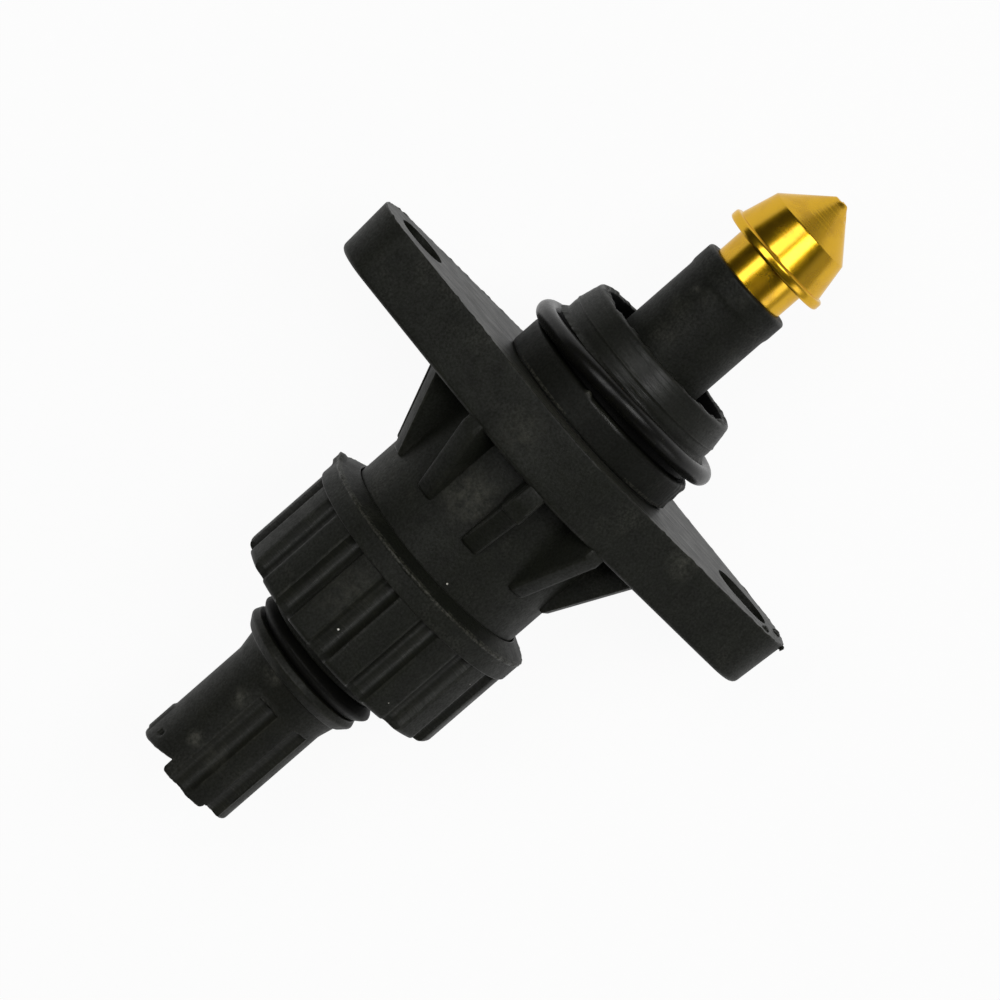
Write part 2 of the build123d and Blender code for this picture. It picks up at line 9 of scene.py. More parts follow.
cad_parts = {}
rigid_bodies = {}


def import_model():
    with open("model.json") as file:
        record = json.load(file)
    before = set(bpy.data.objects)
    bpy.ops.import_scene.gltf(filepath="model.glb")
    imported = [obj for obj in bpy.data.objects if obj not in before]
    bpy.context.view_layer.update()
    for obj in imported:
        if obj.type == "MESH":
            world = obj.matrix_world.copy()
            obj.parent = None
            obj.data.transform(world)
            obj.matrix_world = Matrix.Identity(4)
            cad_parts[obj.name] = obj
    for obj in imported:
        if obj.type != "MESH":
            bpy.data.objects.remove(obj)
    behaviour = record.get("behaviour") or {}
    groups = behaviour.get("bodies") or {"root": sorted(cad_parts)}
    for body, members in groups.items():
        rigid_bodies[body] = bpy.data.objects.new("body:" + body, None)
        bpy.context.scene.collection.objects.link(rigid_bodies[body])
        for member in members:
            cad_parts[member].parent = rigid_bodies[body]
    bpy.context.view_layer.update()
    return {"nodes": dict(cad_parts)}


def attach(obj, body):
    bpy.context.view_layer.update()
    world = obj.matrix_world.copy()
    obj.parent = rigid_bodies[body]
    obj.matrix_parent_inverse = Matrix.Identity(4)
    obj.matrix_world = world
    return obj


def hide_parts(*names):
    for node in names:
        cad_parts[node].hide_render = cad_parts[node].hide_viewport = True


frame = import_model()
scene = bpy.context.scene

# Valve body: one glass-filled nylon moulding with the motor barrel, ten webs, the two-ear flange,
# the stepped spigot with its seal groove and cupped end, and the snout that guides the pintle.
# It is made in one shot and bolted to the intake by its ears, with the spigot in the port.
MM = 0.001
# millimetres along the valve axis X from the mounting face, radii about it, degrees from +Z towards +Y
barrel_rear = -33.4
barrel_radius = 12.8
motor_bore_radius = 11.3
motor_seat = -3.0
crevice_front = 0.25
crevice_radius = 12.1
shoulder_front = 4.0
shoulder_radius = 12.65
groove_front = 6.7
groove_radius = 11.45
bead_radius = 12.1
bead_front = 7.3
lip_radius = 11.4
lip_land_front = 8.9
spigot_front = 11.9
spigot_end_radius = 10.75
cup_radius = 9.6
cup_floor = 4.6
snout_front = 24.15
snout_radius = 6.0
snout_head_radius = 6.15
snout_head_start = 20.95
snout_head_taper = 0.6
guide_radius = 5.025
key_rear = 4.6
key_front = 9.6
key_radius = 4.225
key_half_width = 1.0
key_edge_angle = 13.8
under_nut = -23.5
inside_flange = -7.0
core_end = motor_seat / 2
ring_marks_per_mm = 2.6
ring_mark_depth = 0.035
land_ridge = 0.04
rim_chipping = 0.3
rim_grain = 0.12
rough_angle = -82.0
flake_angle = 18.5
flake_height = 0.16
flake_push = 0.25
scuff_x = 19.9
scuff_angle = 41.0
scuff_slant = 6.0
scuff_height = 0.1


def rounded(corners):
    """Closed outline from corners (x, r, corner radius, step), with arcs and with runs cut into steps."""
    path = []
    for k, (x, r, size, step) in enumerate(corners):
        here = Vector((x, r))
        back = (Vector(corners[k - 1][:2]) - here).normalized()
        ahead = (Vector(corners[(k + 1) % len(corners)][:2]) - here).normalized()
        if size == 0:
            path.append((here, step))
            continue
        half = back.angle(ahead) / 2
        centre = here + (back + ahead).normalized() * (size / math.sin(half))
        start = here + back * (size / math.tan(half)) - centre
        end = here + ahead * (size / math.tan(half)) - centre
        turn = math.atan2(start.x * end.y - start.y * end.x, start.dot(end))
        pieces = max(2, round(abs(turn) / math.radians(18)))
        for n in range(pieces + 1):
            angle = turn * n / pieces
            spoke = Vector(
                (
                    start.x * math.cos(angle) - start.y * math.sin(angle),
                    start.x * math.sin(angle) + start.y * math.cos(angle),
                )
            )
            path.append((centre + spoke, step if n == pieces else size))
    outline = []
    for k, (here, step) in enumerate(path):
        run = path[(k + 1) % len(path)][0] - here
        pieces = max(1, math.ceil(run.length / step - 0.001))
        outline += [here + run * (n / pieces) for n in range(pieces)]
    return outline


def around(count, marks=()):
    """Angles for the columns of a turned mesh, from +Z towards +Y, with pairs of close ones at the marks."""
    angles = [2 * math.pi * n / count for n in range(count)]
    for mark in marks:
        angles += [math.radians(mark - 0.15) % (2 * math.pi), math.radians(mark + 0.15) % (2 * math.pi)]
    return np.array(sorted(angles))


def ripple(angles, lumps, seed):
    """Seeded waviness round the axis, about -1 to 1, with so many lumps in a turn."""
    reach = lumps / (2 * math.pi)
    return np.array([noise.noise((math.cos(a) * reach, math.sin(a) * reach, seed)) for a in angles])


def nearness(value, middle, width):
    """1 at the middle, falling smoothly to 0 at the given distance from it."""
    return np.clip(1 - ((value - middle) / width) ** 2, 0, 1) ** 2


def angle_from(angles, degrees):
    """Signed angle from a direction, in degrees."""
    return (np.degrees(angles) - degrees + 180) % 360 - 180


def ring_mesh(name, points):
    """Object from a closed grid of points in mm, rows round the section and columns round the axis."""
    rows, columns = points.shape[:2]
    row, column = np.meshgrid(range(rows), range(columns), indexing="ij")
    next_row = (row + 1) % rows
    next_column = (column + 1) % columns
    corners = [row * columns + column, row * columns + next_column]
    corners += [next_row * columns + next_column, next_row * columns + column]
    faces = np.stack(corners, axis=-1).reshape(-1, 4)
    mesh = bpy.data.meshes.new(name)
    mesh.from_pydata((points.reshape(-1, 3) * MM).tolist(), [], faces.tolist())
    work = bmesh.new()
    work.from_mesh(mesh)
    bmesh.ops.remove_doubles(work, verts=work.verts, dist=0.0005 * MM)
    bmesh.ops.recalc_face_normals(work, faces=work.faces)
    work.to_mesh(mesh)
    work.free()
    piece = bpy.data.objects.new(name, mesh)
    scene.collection.objects.link(piece)
    return piece


def turned(name, corners, angles, relief=None):
    """Object turned about the valve axis from an outline; relief moves its points out of the round."""
    outline = np.array(rounded(corners))
    x = np.repeat(outline[:, :1], len(angles), axis=1)
    r = np.repeat(outline[:, 1:], len(angles), axis=1)
    a = np.broadcast_to(angles, x.shape)
    if relief:
        x, r = relief(x, r, a)
    return ring_mesh(name, np.stack([x, r * np.sin(a), r * np.cos(a)], axis=-1))


def body_relief(x, r, a):
    """Guide keys in the bore, and the ragged bead, mould rings, flake and scuff of the moulding."""
    turn = a[0]
    keyed = (x > key_rear) & (x < key_front) & (r < guide_radius + 0.01)
    key_top = key_radius / np.maximum(np.abs(np.sin(a)), 0.2)
    r = np.where(keyed & (np.abs(r * np.cos(a)) < key_half_width), key_top, r)
    on_bead = (x > groove_front - 0.05) & (x < bead_front) & (r > lip_radius + 0.01)
    bead_height = np.clip(0.85 + 0.35 * ripple(turn, 60, 1.5) + 0.25 * ripple(turn, 190, 2.5), 0.45, 1.1)
    r = np.where(on_bead, lip_radius + (r - lip_radius) * bead_height, r)
    on_lip = (x > bead_front + 0.1) & (x < spigot_front - 0.6) & (r > cup_radius + 0.8)
    ring_marks = np.array([noise.noise((place * ring_marks_per_mm, 0.5, 7.5)) for place in x[:, 0]])
    ridge = land_ridge * nearness(x, lip_land_front, 0.2)
    r = r + (ring_mark_depth * ring_marks[:, None] + ridge) * on_lip
    rim = nearness(x, spigot_front, 0.6) * nearness(r, cup_radius + 0.3, 0.7)
    x = x + rim * (rim_chipping * ripple(turn, 45, 3.5) + rim_grain * ripple(turn, 170, 4.5))
    shoulder = (x > crevice_front) & (x < shoulder_front + 0.1) & (r > groove_radius + 0.3)
    rough = nearness(angle_from(a, rough_angle), 0, 30) * shoulder
    grain = 0.14 * ripple(turn, 260, 5.5) + 0.1 * ripple(turn, 90, 6.5)
    r = r + rough * grain * (0.6 + 0.4 * np.sin(x * 4.0))
    flake = nearness(x, shoulder_front, 0.7) * nearness(angle_from(a, flake_angle), 0, 3.0) * shoulder
    r = r + flake_height * flake * (1 + ripple(turn, 400, 8.5))
    x = x + flake_push * flake
    off_scuff = angle_from(a, scuff_angle) - (x - scuff_x) * scuff_slant
    scuff = nearness(x, scuff_x, 0.5) * nearness(off_scuff, 0, 4.0) * (r > guide_radius + 0.5)
    return x, r + scuff_height * scuff


columns = around(300, [side + turn * key_edge_angle for side in (90, 270) for turn in (-1, 1)])
body_core = turned(
    "body_core",
    [
        (barrel_rear, motor_bore_radius, 0.2, 2),
        (barrel_rear, barrel_radius, 0.3, 3),
        (under_nut, barrel_radius, 0, 0.6),
        (inside_flange, barrel_radius, 0, 2),
        (core_end, barrel_radius, 0, 2),
        (core_end, crevice_radius, 0, 1),
        (crevice_front, crevice_radius, 0, 9),
        (crevice_front, guide_radius, 0, 4),
        (motor_seat, guide_radius, 0, 2),
        (motor_seat, motor_bore_radius, 0, 4),
    ],
    columns,
)
spigot = turned(
    "spigot",
    [
        (crevice_front, crevice_radius, 0, 1),
        (crevice_front, shoulder_radius, 0.1, 0.3),
        (shoulder_front, shoulder_radius, 0.55, 0.6),
        (shoulder_front, groove_radius, 0.15, 0.6),
        (groove_front, groove_radius, 0, 0.2),
        (groove_front, bead_radius, 0.06, 0.15),
        (bead_front, lip_radius, 0.1, 0.12),
        (lip_land_front, lip_radius, 0.1, 0.08),
        (spigot_front, spigot_end_radius, 0.5, 0.15),
        (spigot_front, cup_radius, 0.25, 0.5),
        (cup_floor, cup_radius, 0.5, 0.8),
        (cup_floor, snout_radius, 0.8, 0.6),
        (snout_head_start, snout_radius, 2.0, 0.3),
        (snout_head_start + snout_head_taper, snout_head_radius, 2.0, 0.35),
        (snout_front, snout_head_radius, 0.45, 0.3),
        (snout_front, guide_radius, 0.12, 4),
        (key_front + 0.05, guide_radius, 0, 0.1),
        (key_front - 0.05, guide_radius, 0, 2),
        (key_rear + 0.05, guide_radius, 0, 0.1),
        (key_rear - 0.05, guide_radius, 0, 2),
        (crevice_front, guide_radius, 0, 9),
    ],
    columns,
    body_relief,
)

# Flange of the body: a thick plate over the hull of a hub circle and two ear circles, moulded in one with
# the barrel. One ear has a round bolt hole and the other a slot. The ear ends draw in towards the back, as
# the mould needs, and a ragged flash is left where the mould parts at the front edge.
flange_rear = -7.2
flange_hub_radius = 17.0
ear_radius = 6.4
ear_offset = 27.35
flange_front_round = 0.2
flange_rear_round = 0.6
flange_core_radius = 11.8
bolt_hole_radius = 3.2
bolt_hole_offset = 27.75
slot_offset = 26.5
slot_length = 8.0
ear_draft = 0.45
edge_step = 0.5
edge_flash = 0.16
edge_flash_size = 0.7


def hull_outline(circles, inset):
    """Points round the hull of circles (y, radius), moved in by the inset; long runs are cut into steps."""
    support = []
    for n in range(240):
        angle = 2 * math.pi * (n + 0.5) / 240
        normal = Vector((math.sin(angle), math.cos(angle)))
        y, radius = max(circles, key=lambda circle: circle[0] * normal.x + circle[1])
        support.append(Vector((y, 0)) + normal * (radius - inset))
    points = []
    for k, here in enumerate(support):
        run = support[(k + 1) % len(support)] - here
        pieces = math.ceil(run.length / edge_step)
        points += [here + run * (n / pieces) for n in range(pieces)]
    return np.array(points)


def plate_mesh(name, circles, sections, inner):
    """Closed plate from sections (x, inset) round the hull of circles, with an inner outline inside it."""
    rows = [np.column_stack([np.full(len(inner), sections[0][0]), inner])]
    for x, inset in sections:
        outline = hull_outline(circles, inset)
        rows.append(np.column_stack([np.full(len(outline), x), outline]))
    rows.append(np.column_stack([np.full(len(inner), sections[-1][0]), inner]))
    return ring_mesh(name, np.array(rows))


flange_circles = [(0, flange_hub_radius), (ear_offset, ear_radius), (-ear_offset, ear_radius)]
flange_edge = hull_outline(flange_circles, 0)
flange_bearing = np.arctan2(flange_edge[:, 0], flange_edge[:, 1])
flange_core = flange_core_radius * np.column_stack([np.sin(flange_bearing), np.cos(flange_bearing)])
quarter = [math.radians(angle) for angle in (0, 22.5, 45, 67.5, 90)]
flange_sections = [
    (flange_rear + flange_rear_round * (1 - math.sin(q)), flange_rear_round * (1 - math.cos(q)))
    for q in reversed(quarter)
]
flange_sections.insert(0, (flange_rear, flange_rear_round + 0.4))
flange_sections += [(flange_rear * share, 0) for share in (0.8, 0.6, 0.4, 0.2)]
flange_sections += [
    (-flange_front_round * (1 - math.sin(q)), flange_front_round * (1 - math.cos(q))) for q in quarter
]
flange_sections.append((0, flange_front_round + 0.4))
flange = plate_mesh("flange", flange_circles, flange_sections, flange_core)
for corner in flange.data.vertices:
    past_hole = min(max((abs(corner.co.y) / MM - ear_offset) / ear_radius, 0), 1)
    drawn_in = past_hole * corner.co.x / (flange_rear * MM)
    corner.co.y -= math.copysign(ear_draft * drawn_in * MM, corner.co.y)
    on_front_round = -0.99 < corner.co.x / (flange_front_round * MM) < -0.01
    if on_front_round:
        corner.co.x += edge_flash * MM * max(noise.noise(corner.co / (edge_flash_size * MM)) + 0.1, 0)

hole_sections = [(flange_rear - 2, 0), (2, 0)]
cutters = bpy.data.collections.new("flange_cutters")
slot_reach = slot_length / 2 - bolt_hole_radius
for name, circles in (
    ("hole_cutter", [(bolt_hole_offset, bolt_hole_radius)]),
    ("slot_cutter", [(-slot_offset + side * slot_reach, bolt_hole_radius) for side in (-1, 1)]),
):
    outline = hull_outline(circles, 0)
    core = outline.mean(axis=0) + (outline - outline.mean(axis=0)) * 0.001
    cutters.objects.link(plate_mesh(name, circles, hole_sections, core))

# Webs of the body: ten thin ribs that brace the flange against the barrel, moulded in one with both. They
# rise from a low toe to the flange, and the two on its narrow sides carry a level ledge next to it.
web_count = 10
web_thickness = 2.6
web_rear = -17.5
web_front_radius = 17.9
web_root_radius = 11.8
ledge_rear = -11.2
ledge_radius = 16.5
ledge_thickness = 2.9
web_toe = 0.4
web_inset = 0.06
web_sink = 0.5
web_soften = 0.55
ledge_sink = 0.4
ledge_soften = 0.45


def web_mesh(name, profile, thickness, degrees, soften):
    """Prism of a profile (x, r) that stands on the axis at the given angle, with softened edges."""
    outward = Vector((0, math.sin(math.radians(degrees)), math.cos(math.radians(degrees))))
    across = Vector((0, outward.z, -outward.y))
    work = bmesh.new()
    sides = []
    for side in (-0.5, 0.5):
        corners = [Vector((x, 0, 0)) + outward * r + across * (side * thickness) for x, r in profile]
        sides.append([work.verts.new(corner * MM) for corner in corners])
    work.faces.new(sides[0])
    work.faces.new(sides[1])
    for k in range(len(profile)):
        work.faces.new([sides[0][k - 1], sides[0][k], sides[1][k], sides[1][k - 1]])
    bmesh.ops.recalc_face_normals(work, faces=work.faces)
    bmesh.ops.bevel(work, geom=work.edges[:], offset=soften * MM, segments=3, profile=0.5,
                    affect="EDGES", clamp_overlap=True)
    mesh = bpy.data.meshes.new(name)
    work.to_mesh(mesh)
    work.free()
    piece = bpy.data.objects.new(name, mesh)
    scene.collection.objects.link(piece)
    return piece


joined = bpy.data.collections.new("body_joined")
toe_radius = barrel_radius + web_toe
web_slope = (web_front_radius - toe_radius) / (flange_rear - web_rear)
hub_line_angle = math.degrees(math.asin((flange_hub_radius - ear_radius) / ear_offset))
hub_lines = [side + turn * hub_line_angle for side in (0, 180) for turn in (-1, 1)]
for n in range(web_count):
    degrees = 360 / web_count * n
    from_line = min(abs(angle_from(math.radians(degrees), line)) for line in hub_lines)
    from_pole = min(abs(angle_from(math.radians(degrees), pole)) for pole in (0, 180))
    reach = flange_hub_radius
    if from_pole >= hub_line_angle:
        reach = flange_hub_radius / math.cos(math.radians(from_line))
    top = min(web_front_radius, reach - web_inset)
    profile = [
        (web_rear, web_root_radius),
        (web_rear, toe_radius),
        (web_rear + (top - toe_radius) / web_slope, top),
        (flange_rear + web_sink, top),
        (flange_rear + web_sink, web_root_radius),
    ]
    joined.objects.link(web_mesh(f"web_{n}", profile, web_thickness, degrees, web_soften))
for degrees in (0, 180):
    profile = [
        (ledge_rear, web_root_radius),
        (ledge_rear, ledge_radius),
        (flange_rear + ledge_sink, ledge_radius),
        (flange_rear + ledge_sink, web_root_radius),
    ]
    joined.objects.link(web_mesh(f"ledge_{degrees}", profile, ledge_thickness, degrees, ledge_soften))

# Ragged lumps of flash left on the slotted ear, each with its middle and its reach along the axes.
for name, centre, reach in (
    ("flash_nub_end", (-0.4, -33.7, 1.5), (0.35, 0.22, 0.35)),
    ("flash_nub_slot", (0.0, -30.4, 3.6), (0.32, 0.45, 0.5)),
    ("flash_nub_face", (0.0, -32.4, -1.0), (0.32, 0.55, 0.8)),
):
    work = bmesh.new()
    bmesh.ops.create_icosphere(work, subdivisions=3, radius=1.0)
    for corner in work.verts:
        swell = 1 + 0.5 * noise.noise(corner.co * 1.7 + Vector(centre))
        corner.co = [(c + r * v * swell) * MM for c, r, v in zip(centre, reach, corner.co)]
    mesh = bpy.data.meshes.new(name)
    work.to_mesh(mesh)
    work.free()
    lump = bpy.data.objects.new(name, mesh)
    scene.collection.objects.link(lump)
    joined.objects.link(lump)


def carve(piece, collection, operation):
    """Joins the collection's meshes to the piece, or cuts them out of it, and removes them."""
    step = piece.modifiers.new(operation, "BOOLEAN")
    step.operation = operation
    step.operand_type = "COLLECTION"
    step.collection = collection
    step.solver = "EXACT"
    result = bpy.data.meshes.new_from_object(piece.evaluated_get(bpy.context.evaluated_depsgraph_get()))
    piece.modifiers.clear()
    piece.data = result
    for tool in list(collection.objects):
        bpy.data.objects.remove(tool)
    bpy.data.collections.remove(collection)


def weld(first, second, x):
    """Joins two meshes that end in the same ring at x, without the walls between them."""
    work = bmesh.new()
    for piece in (first, second):
        work.from_mesh(piece.data)
    wall = [f for f in work.faces if all(abs(v.co.x - x * MM) < 1e-8 for v in f.verts) and
            f.calc_center_median().yz.length < (crevice_radius - 0.02) * MM]
    bmesh.ops.delete(work, geom=wall, context="FACES")
    bmesh.ops.remove_doubles(work, verts=work.verts, dist=0.0005 * MM)
    work.to_mesh(first.data)
    work.free()
    bpy.data.objects.remove(second)


carve(flange, cutters, "DIFFERENCE")
joined.objects.link(flange)
carve(body_core, joined, "UNION")
weld(body_core, spigot, crevice_front)


def linear(code):
    """Linear colour from an sRGB hex code."""
    parts = [int(code[k : k + 2], 16) / 255 for k in (1, 3, 5)]
    return (*[p / 12.92 if p <= 0.04045 else ((p + 0.055) / 1.055) ** 2.4 for p in parts], 1.0)


def add(tree, kind, inputs=None, stops=None, **settings):
    """Adds a node, sets its properties, ramp stops and inputs, and links the inputs that are sockets."""
    node = tree.nodes.new("ShaderNode" + kind)
    for key, value in settings.items():
        setattr(node, key, value)
    for key, value in (inputs or {}).items():
        if isinstance(value, bpy.types.NodeSocket):
            tree.links.new(value, node.inputs[key])
        else:
            node.inputs[key].default_value = value
    for k, (place, value) in enumerate(stops or ()):
        element = node.color_ramp.elements[k] if k < 2 else node.color_ramp.elements.new(place)
        element.position = place
        element.color = value if isinstance(value, tuple) else (value, value, value, 1)
    return node


def new_material(name):
    """Material with an empty tree; gives the material, its tree and its output node."""
    material = bpy.data.materials.new(name)
    material.use_nodes = True
    material.node_tree.nodes.clear()
    return material, material.node_tree, add(material.node_tree, "OutputMaterial")


def moulded_nylon(name, dark, pale, seed, smudges):
    """Black glass-filled nylon, satin from the mould: the eye sees an olive charcoal skin with a fine
    grain, smooth and streaked where the port rubs it and where pale streaks are laid as painted highlight,
    with pale scuffs, smudges and a little dust, partly painted reflection where so marked, and near-black
    soot and painted shade where marked."""
    # pale worn tone, also used for the painted highlight streaks and the painted reflection where marked
    worn = linear("#66655a")
    cloud_size, grain_size, smear_size, scuff_size, dust_spacing = 2.6, 0.3, 1.1, 7.0, 12.0
    streak_width, streak_length, streak_depth = 0.16, 7.0, 1.0
    material, tree, output = new_material(name)
    here = add(tree, "TexCoord").outputs["Object"]
    place = add(tree, "Mapping", {"Vector": here, "Location": (seed, seed * 0.7, 0)}).outputs[0]
    cloud = add(tree, "TexNoise", {"Vector": place, "Scale": 1 / (cloud_size * MM), "Detail": 6,
                                   "Roughness": 0.7}).outputs["Fac"]
    # real fibres are about 0.01 mm thick, drawn coarser so that their grain shows
    grain = add(tree, "TexNoise", {"Vector": place, "Scale": 1 / (grain_size * MM), "Detail": 3,
                                   "Roughness": 0.6}).outputs["Fac"]
    stretch = (1 / (streak_width * MM), 1 / (streak_length * MM), 1 / (streak_depth * MM))
    drawn = add(tree, "Mapping", {"Vector": here, "Scale": stretch}).outputs[0]
    streak = add(tree, "TexNoise", {"Vector": drawn, "Scale": 1.0, "Detail": 3,
                                    "Roughness": 0.7}).outputs["Fac"]
    marks = {mark: add(tree, "Attribute", attribute_name=mark).outputs["Fac"]
             for mark in ("rubbed", "polished", "dusty", "sooty")}
    skin = add(tree, "ValToRGB", {"Fac": cloud}, [(0.3, linear(dark)), (0.7, linear(pale))]).outputs[0]
    # scuffs where a broad patch and the grain both stand high, on rubbed edges, in streaks (partly painted
    # highlight) and in dust (partly painted reflection)
    patch = add(tree, "TexNoise", {"Vector": place, "Scale": 1 / (scuff_size * MM), "Detail": 3})
    patch = add(tree, "MapRange", {"Value": patch.outputs["Fac"], 1: 0.56, 2: 0.74, 3: 0.0, 4: 0.1})
    speckle = add(tree, "MapRange", {"Value": grain, 1: 0.42, 2: 0.62, 3: 0.1, 4: 1.0}).outputs[0]
    scuff = add(tree, "Math", {0: patch.outputs[0], 1: speckle}, operation="MULTIPLY").outputs[0]
    drawn_high = add(tree, "MapRange", {"Value": streak, 1: 0.5, 2: 0.68, 3: 0.0, 4: 0.16}).outputs[0]
    cloud_high = add(tree, "MapRange", {"Value": cloud, 1: 0.42, 2: 0.7, 3: 0.0, 4: 0.1}).outputs[0]
    for mark, level in (("rubbed", cloud_high), ("polished", drawn_high), ("dusty", speckle)):
        level = add(tree, "Math", {0: marks[mark], 1: level}, operation="MULTIPLY").outputs[0]
        scuff = add(tree, "Math", {0: scuff, 1: level}, operation="MAXIMUM").outputs[0]
    skin = add(tree, "Mix", {0: scuff, 6: skin, 7: worn}, data_type="RGBA").outputs[2]
    smear = add(tree, "TexNoise", {"Vector": place, "Scale": 1 / (smear_size * MM), "Detail": 6,
                                   "Roughness": 0.75}).outputs["Fac"]
    smear = add(tree, "MapRange", {"Value": smear, 1: 0.4, 2: 0.66, 3: 0.05, 4: 1.0}).outputs[0]
    for x, y, z, reach, level, tone in smudges:
        middle = (x * MM, y * MM, z * MM)
        apart = add(tree, "VectorMath", {0: here, 1: middle}, operation="DISTANCE").outputs["Value"]
        share = add(tree, "MapRange", {"Value": apart, 1: reach * MM, 2: 0.2 * reach * MM, 3: 0.0, 4: level})
        share = add(tree, "Math", {0: share.outputs[0], 1: smear}, operation="MULTIPLY").outputs[0]
        skin = add(tree, "Mix", {0: share, 6: skin, 7: linear(tone)}, data_type="RGBA").outputs[2]
    dust = add(tree, "TexVoronoi", {"Vector": place, "Scale": 1 / (dust_spacing * MM)})
    speck = add(tree, "MapRange", {"Value": dust.outputs["Distance"], 1: 0.012, 2: 0.006, 3: 0.0, 4: 0.8})
    skin = add(tree, "Mix", {0: speck.outputs[0], 6: skin, 7: linear("#c4c2b8")}, data_type="RGBA").outputs[2]
    # near-black where marked: soot and painted shade in the cup, painted shade in the seal groove and on the
    # brow
    skin = add(tree, "Mix", {0: marks["sooty"], 6: skin, 7: linear("#060605")}, data_type="RGBA").outputs[2]
    shine = add(tree, "MapRange", {"Value": grain, 1: 0.3, 2: 0.7, 3: 0.12, 4: 0.28}).outputs[0]
    shine = add(tree, "Mix", {0: marks["polished"], 2: shine, 3: 0.32}).outputs[0]
    shine = add(tree, "Mix", {0: marks["sooty"], 2: shine, 3: 0.05}).outputs[0]
    gloss = add(tree, "MapRange", {"Value": cloud, 1: 0.3, 2: 0.7, 3: 0.64, 4: 0.5}).outputs[0]
    gloss = add(tree, "Mix", {0: marks["rubbed"], 2: gloss, 3: 0.45}).outputs[0]
    slick = add(tree, "MapRange", {"Value": streak, 1: 0.35, 2: 0.65, 3: 0.45, 4: 0.15}).outputs[0]
    gloss = add(tree, "Mix", {0: marks["polished"], 2: gloss, 3: slick}).outputs[0]
    height = add(tree, "Math", {0: streak, 1: 1.6}, operation="MULTIPLY").outputs[0]
    height = add(tree, "Mix", {0: marks["polished"], 2: grain, 3: height}).outputs[0]
    bump = add(tree, "Bump", {"Strength": 0.8, "Distance": 0.04 * MM, "Height": height})
    shader = add(tree, "BsdfPrincipled", {"Base Color": skin, "Roughness": gloss, "IOR": 1.53,
                                          "Specular IOR Level": shine, "Normal": bump.outputs[0]})
    tree.links.new(shader.outputs[0], output.inputs[0])
    return material


def mark(mesh, name, values):
    """Stores a share from 0 to 1 on each face."""
    mesh.attributes.new(name, "FLOAT", "FACE").data.foreach_set("value", values.astype(float))


def face_places(mesh):
    """Place along X, radius and angle of the middle of each face, and how far the face looks towards +X."""
    middles = np.empty(len(mesh.polygons) * 3)
    mesh.polygons.foreach_get("center", middles)
    facing = np.empty(len(mesh.polygons) * 3)
    mesh.polygons.foreach_get("normal", facing)
    x, y, z = middles.reshape(-1, 3).T / MM
    return x, np.hypot(y, z), np.degrees(np.arctan2(y, z)), facing[0::3]


def mark_rubbed(mesh):
    """Stores on each face how far its bend, in radians per mm, is that of a rubbed edge."""
    work = bmesh.new()
    work.from_mesh(mesh)
    bend = []
    for face in work.faces:
        turns = [edge.calc_face_angle_signed(0.0) * edge.calc_length() for edge in face.edges]
        bend.append(sum(turns) / max(2 * face.calc_area(), 1e-12) * MM)
    work.free()
    mark(mesh, "rubbed", np.clip((np.array(bend) - 0.8) / 1.5, 0, 1))


def dress(piece, material, body, slot, *nodes, sharp=25):
    """Gives a finished mesh its material and its body, and hides the solids that it stands for; the slot is
    not used.
    """
    mark_rubbed(piece.data)
    piece.data.materials.clear()
    piece.data.materials.append(material)
    piece.data.polygons.foreach_set("use_smooth", [True] * len(piece.data.polygons))
    piece.data.set_sharp_from_angle(angle=math.radians(sharp))
    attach(piece, body)
    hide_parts(*nodes)


# Soot and painted shade blacken the cup; painted shade blackens the seal groove and the brow of the
# shoulder where it faces away from the light, and the rest of the shoulder, the snout and the lip are
# darkened a little. The port has rubbed the brow, the lip and the mounting face smooth; on the brow and the
# lip the polish and its pale streaks are laid where the light falls, a painted highlight. Dirt sits in the
# crevice, and pale specks on the mounting face are dust and painted reflection. Smudges are (x, y, z,
# reach, share, colour).
x, r, a, facing = face_places(body_core.data)
in_cup = (x > cup_floor - 0.1) & (x < spigot_front - 0.15)
in_cup = in_cup & (r > snout_radius + 0.1) & (r < cup_radius + 0.12)
in_groove = (x > shoulder_front - 0.1) & (x < groove_front - 0.05)
in_groove = in_groove & (r < shoulder_radius - 0.4) & (r > groove_radius - 0.1)
on_shoulder = (x > crevice_front) & (x < shoulder_front + 0.01) & (r > shoulder_radius - 0.6)
on_brow = on_shoulder & (x > shoulder_front - 0.6)
on_lip = (x > bead_front) & (x < spigot_front) & (r > cup_radius + 0.5)
on_face = (np.abs(x) < 0.01) & (facing > 0.9) & (r > shoulder_radius)
in_crevice = (np.abs(x - crevice_front) < 0.3) & (r > crevice_radius + 0.1) & (r < shoulder_radius + 0.1)
on_snout = (x > spigot_front) & (r > guide_radius + 0.3)
towards_light = nearness(a, 4.0, 20.0)
# near-black share: soot and painted shade in the cup, painted shade in the seal groove and on the brow away
# from the light; the rest of the shoulder, the snout and the lip are darkened a little
blackening = np.where(in_cup | in_groove, 1.0, np.where(on_brow, 0.6 * (1 - towards_light), 0.4 * on_shoulder))
mark(body_core.data, "sooty", np.maximum(blackening, 0.2 * (on_snout | on_lip)))
# on the brow and the lip the polish and its pale streaks are laid where the light falls, a painted highlight;
# the mounting face is rubbed smooth
shiny = np.where(on_lip, 0.25 + 0.65 * towards_light, 0.35 * on_face)
mark(body_core.data, "polished", np.where(on_brow, towards_light, shiny))
dirty = in_crevice & (np.abs(np.abs(a + 5) - 45) < 22)
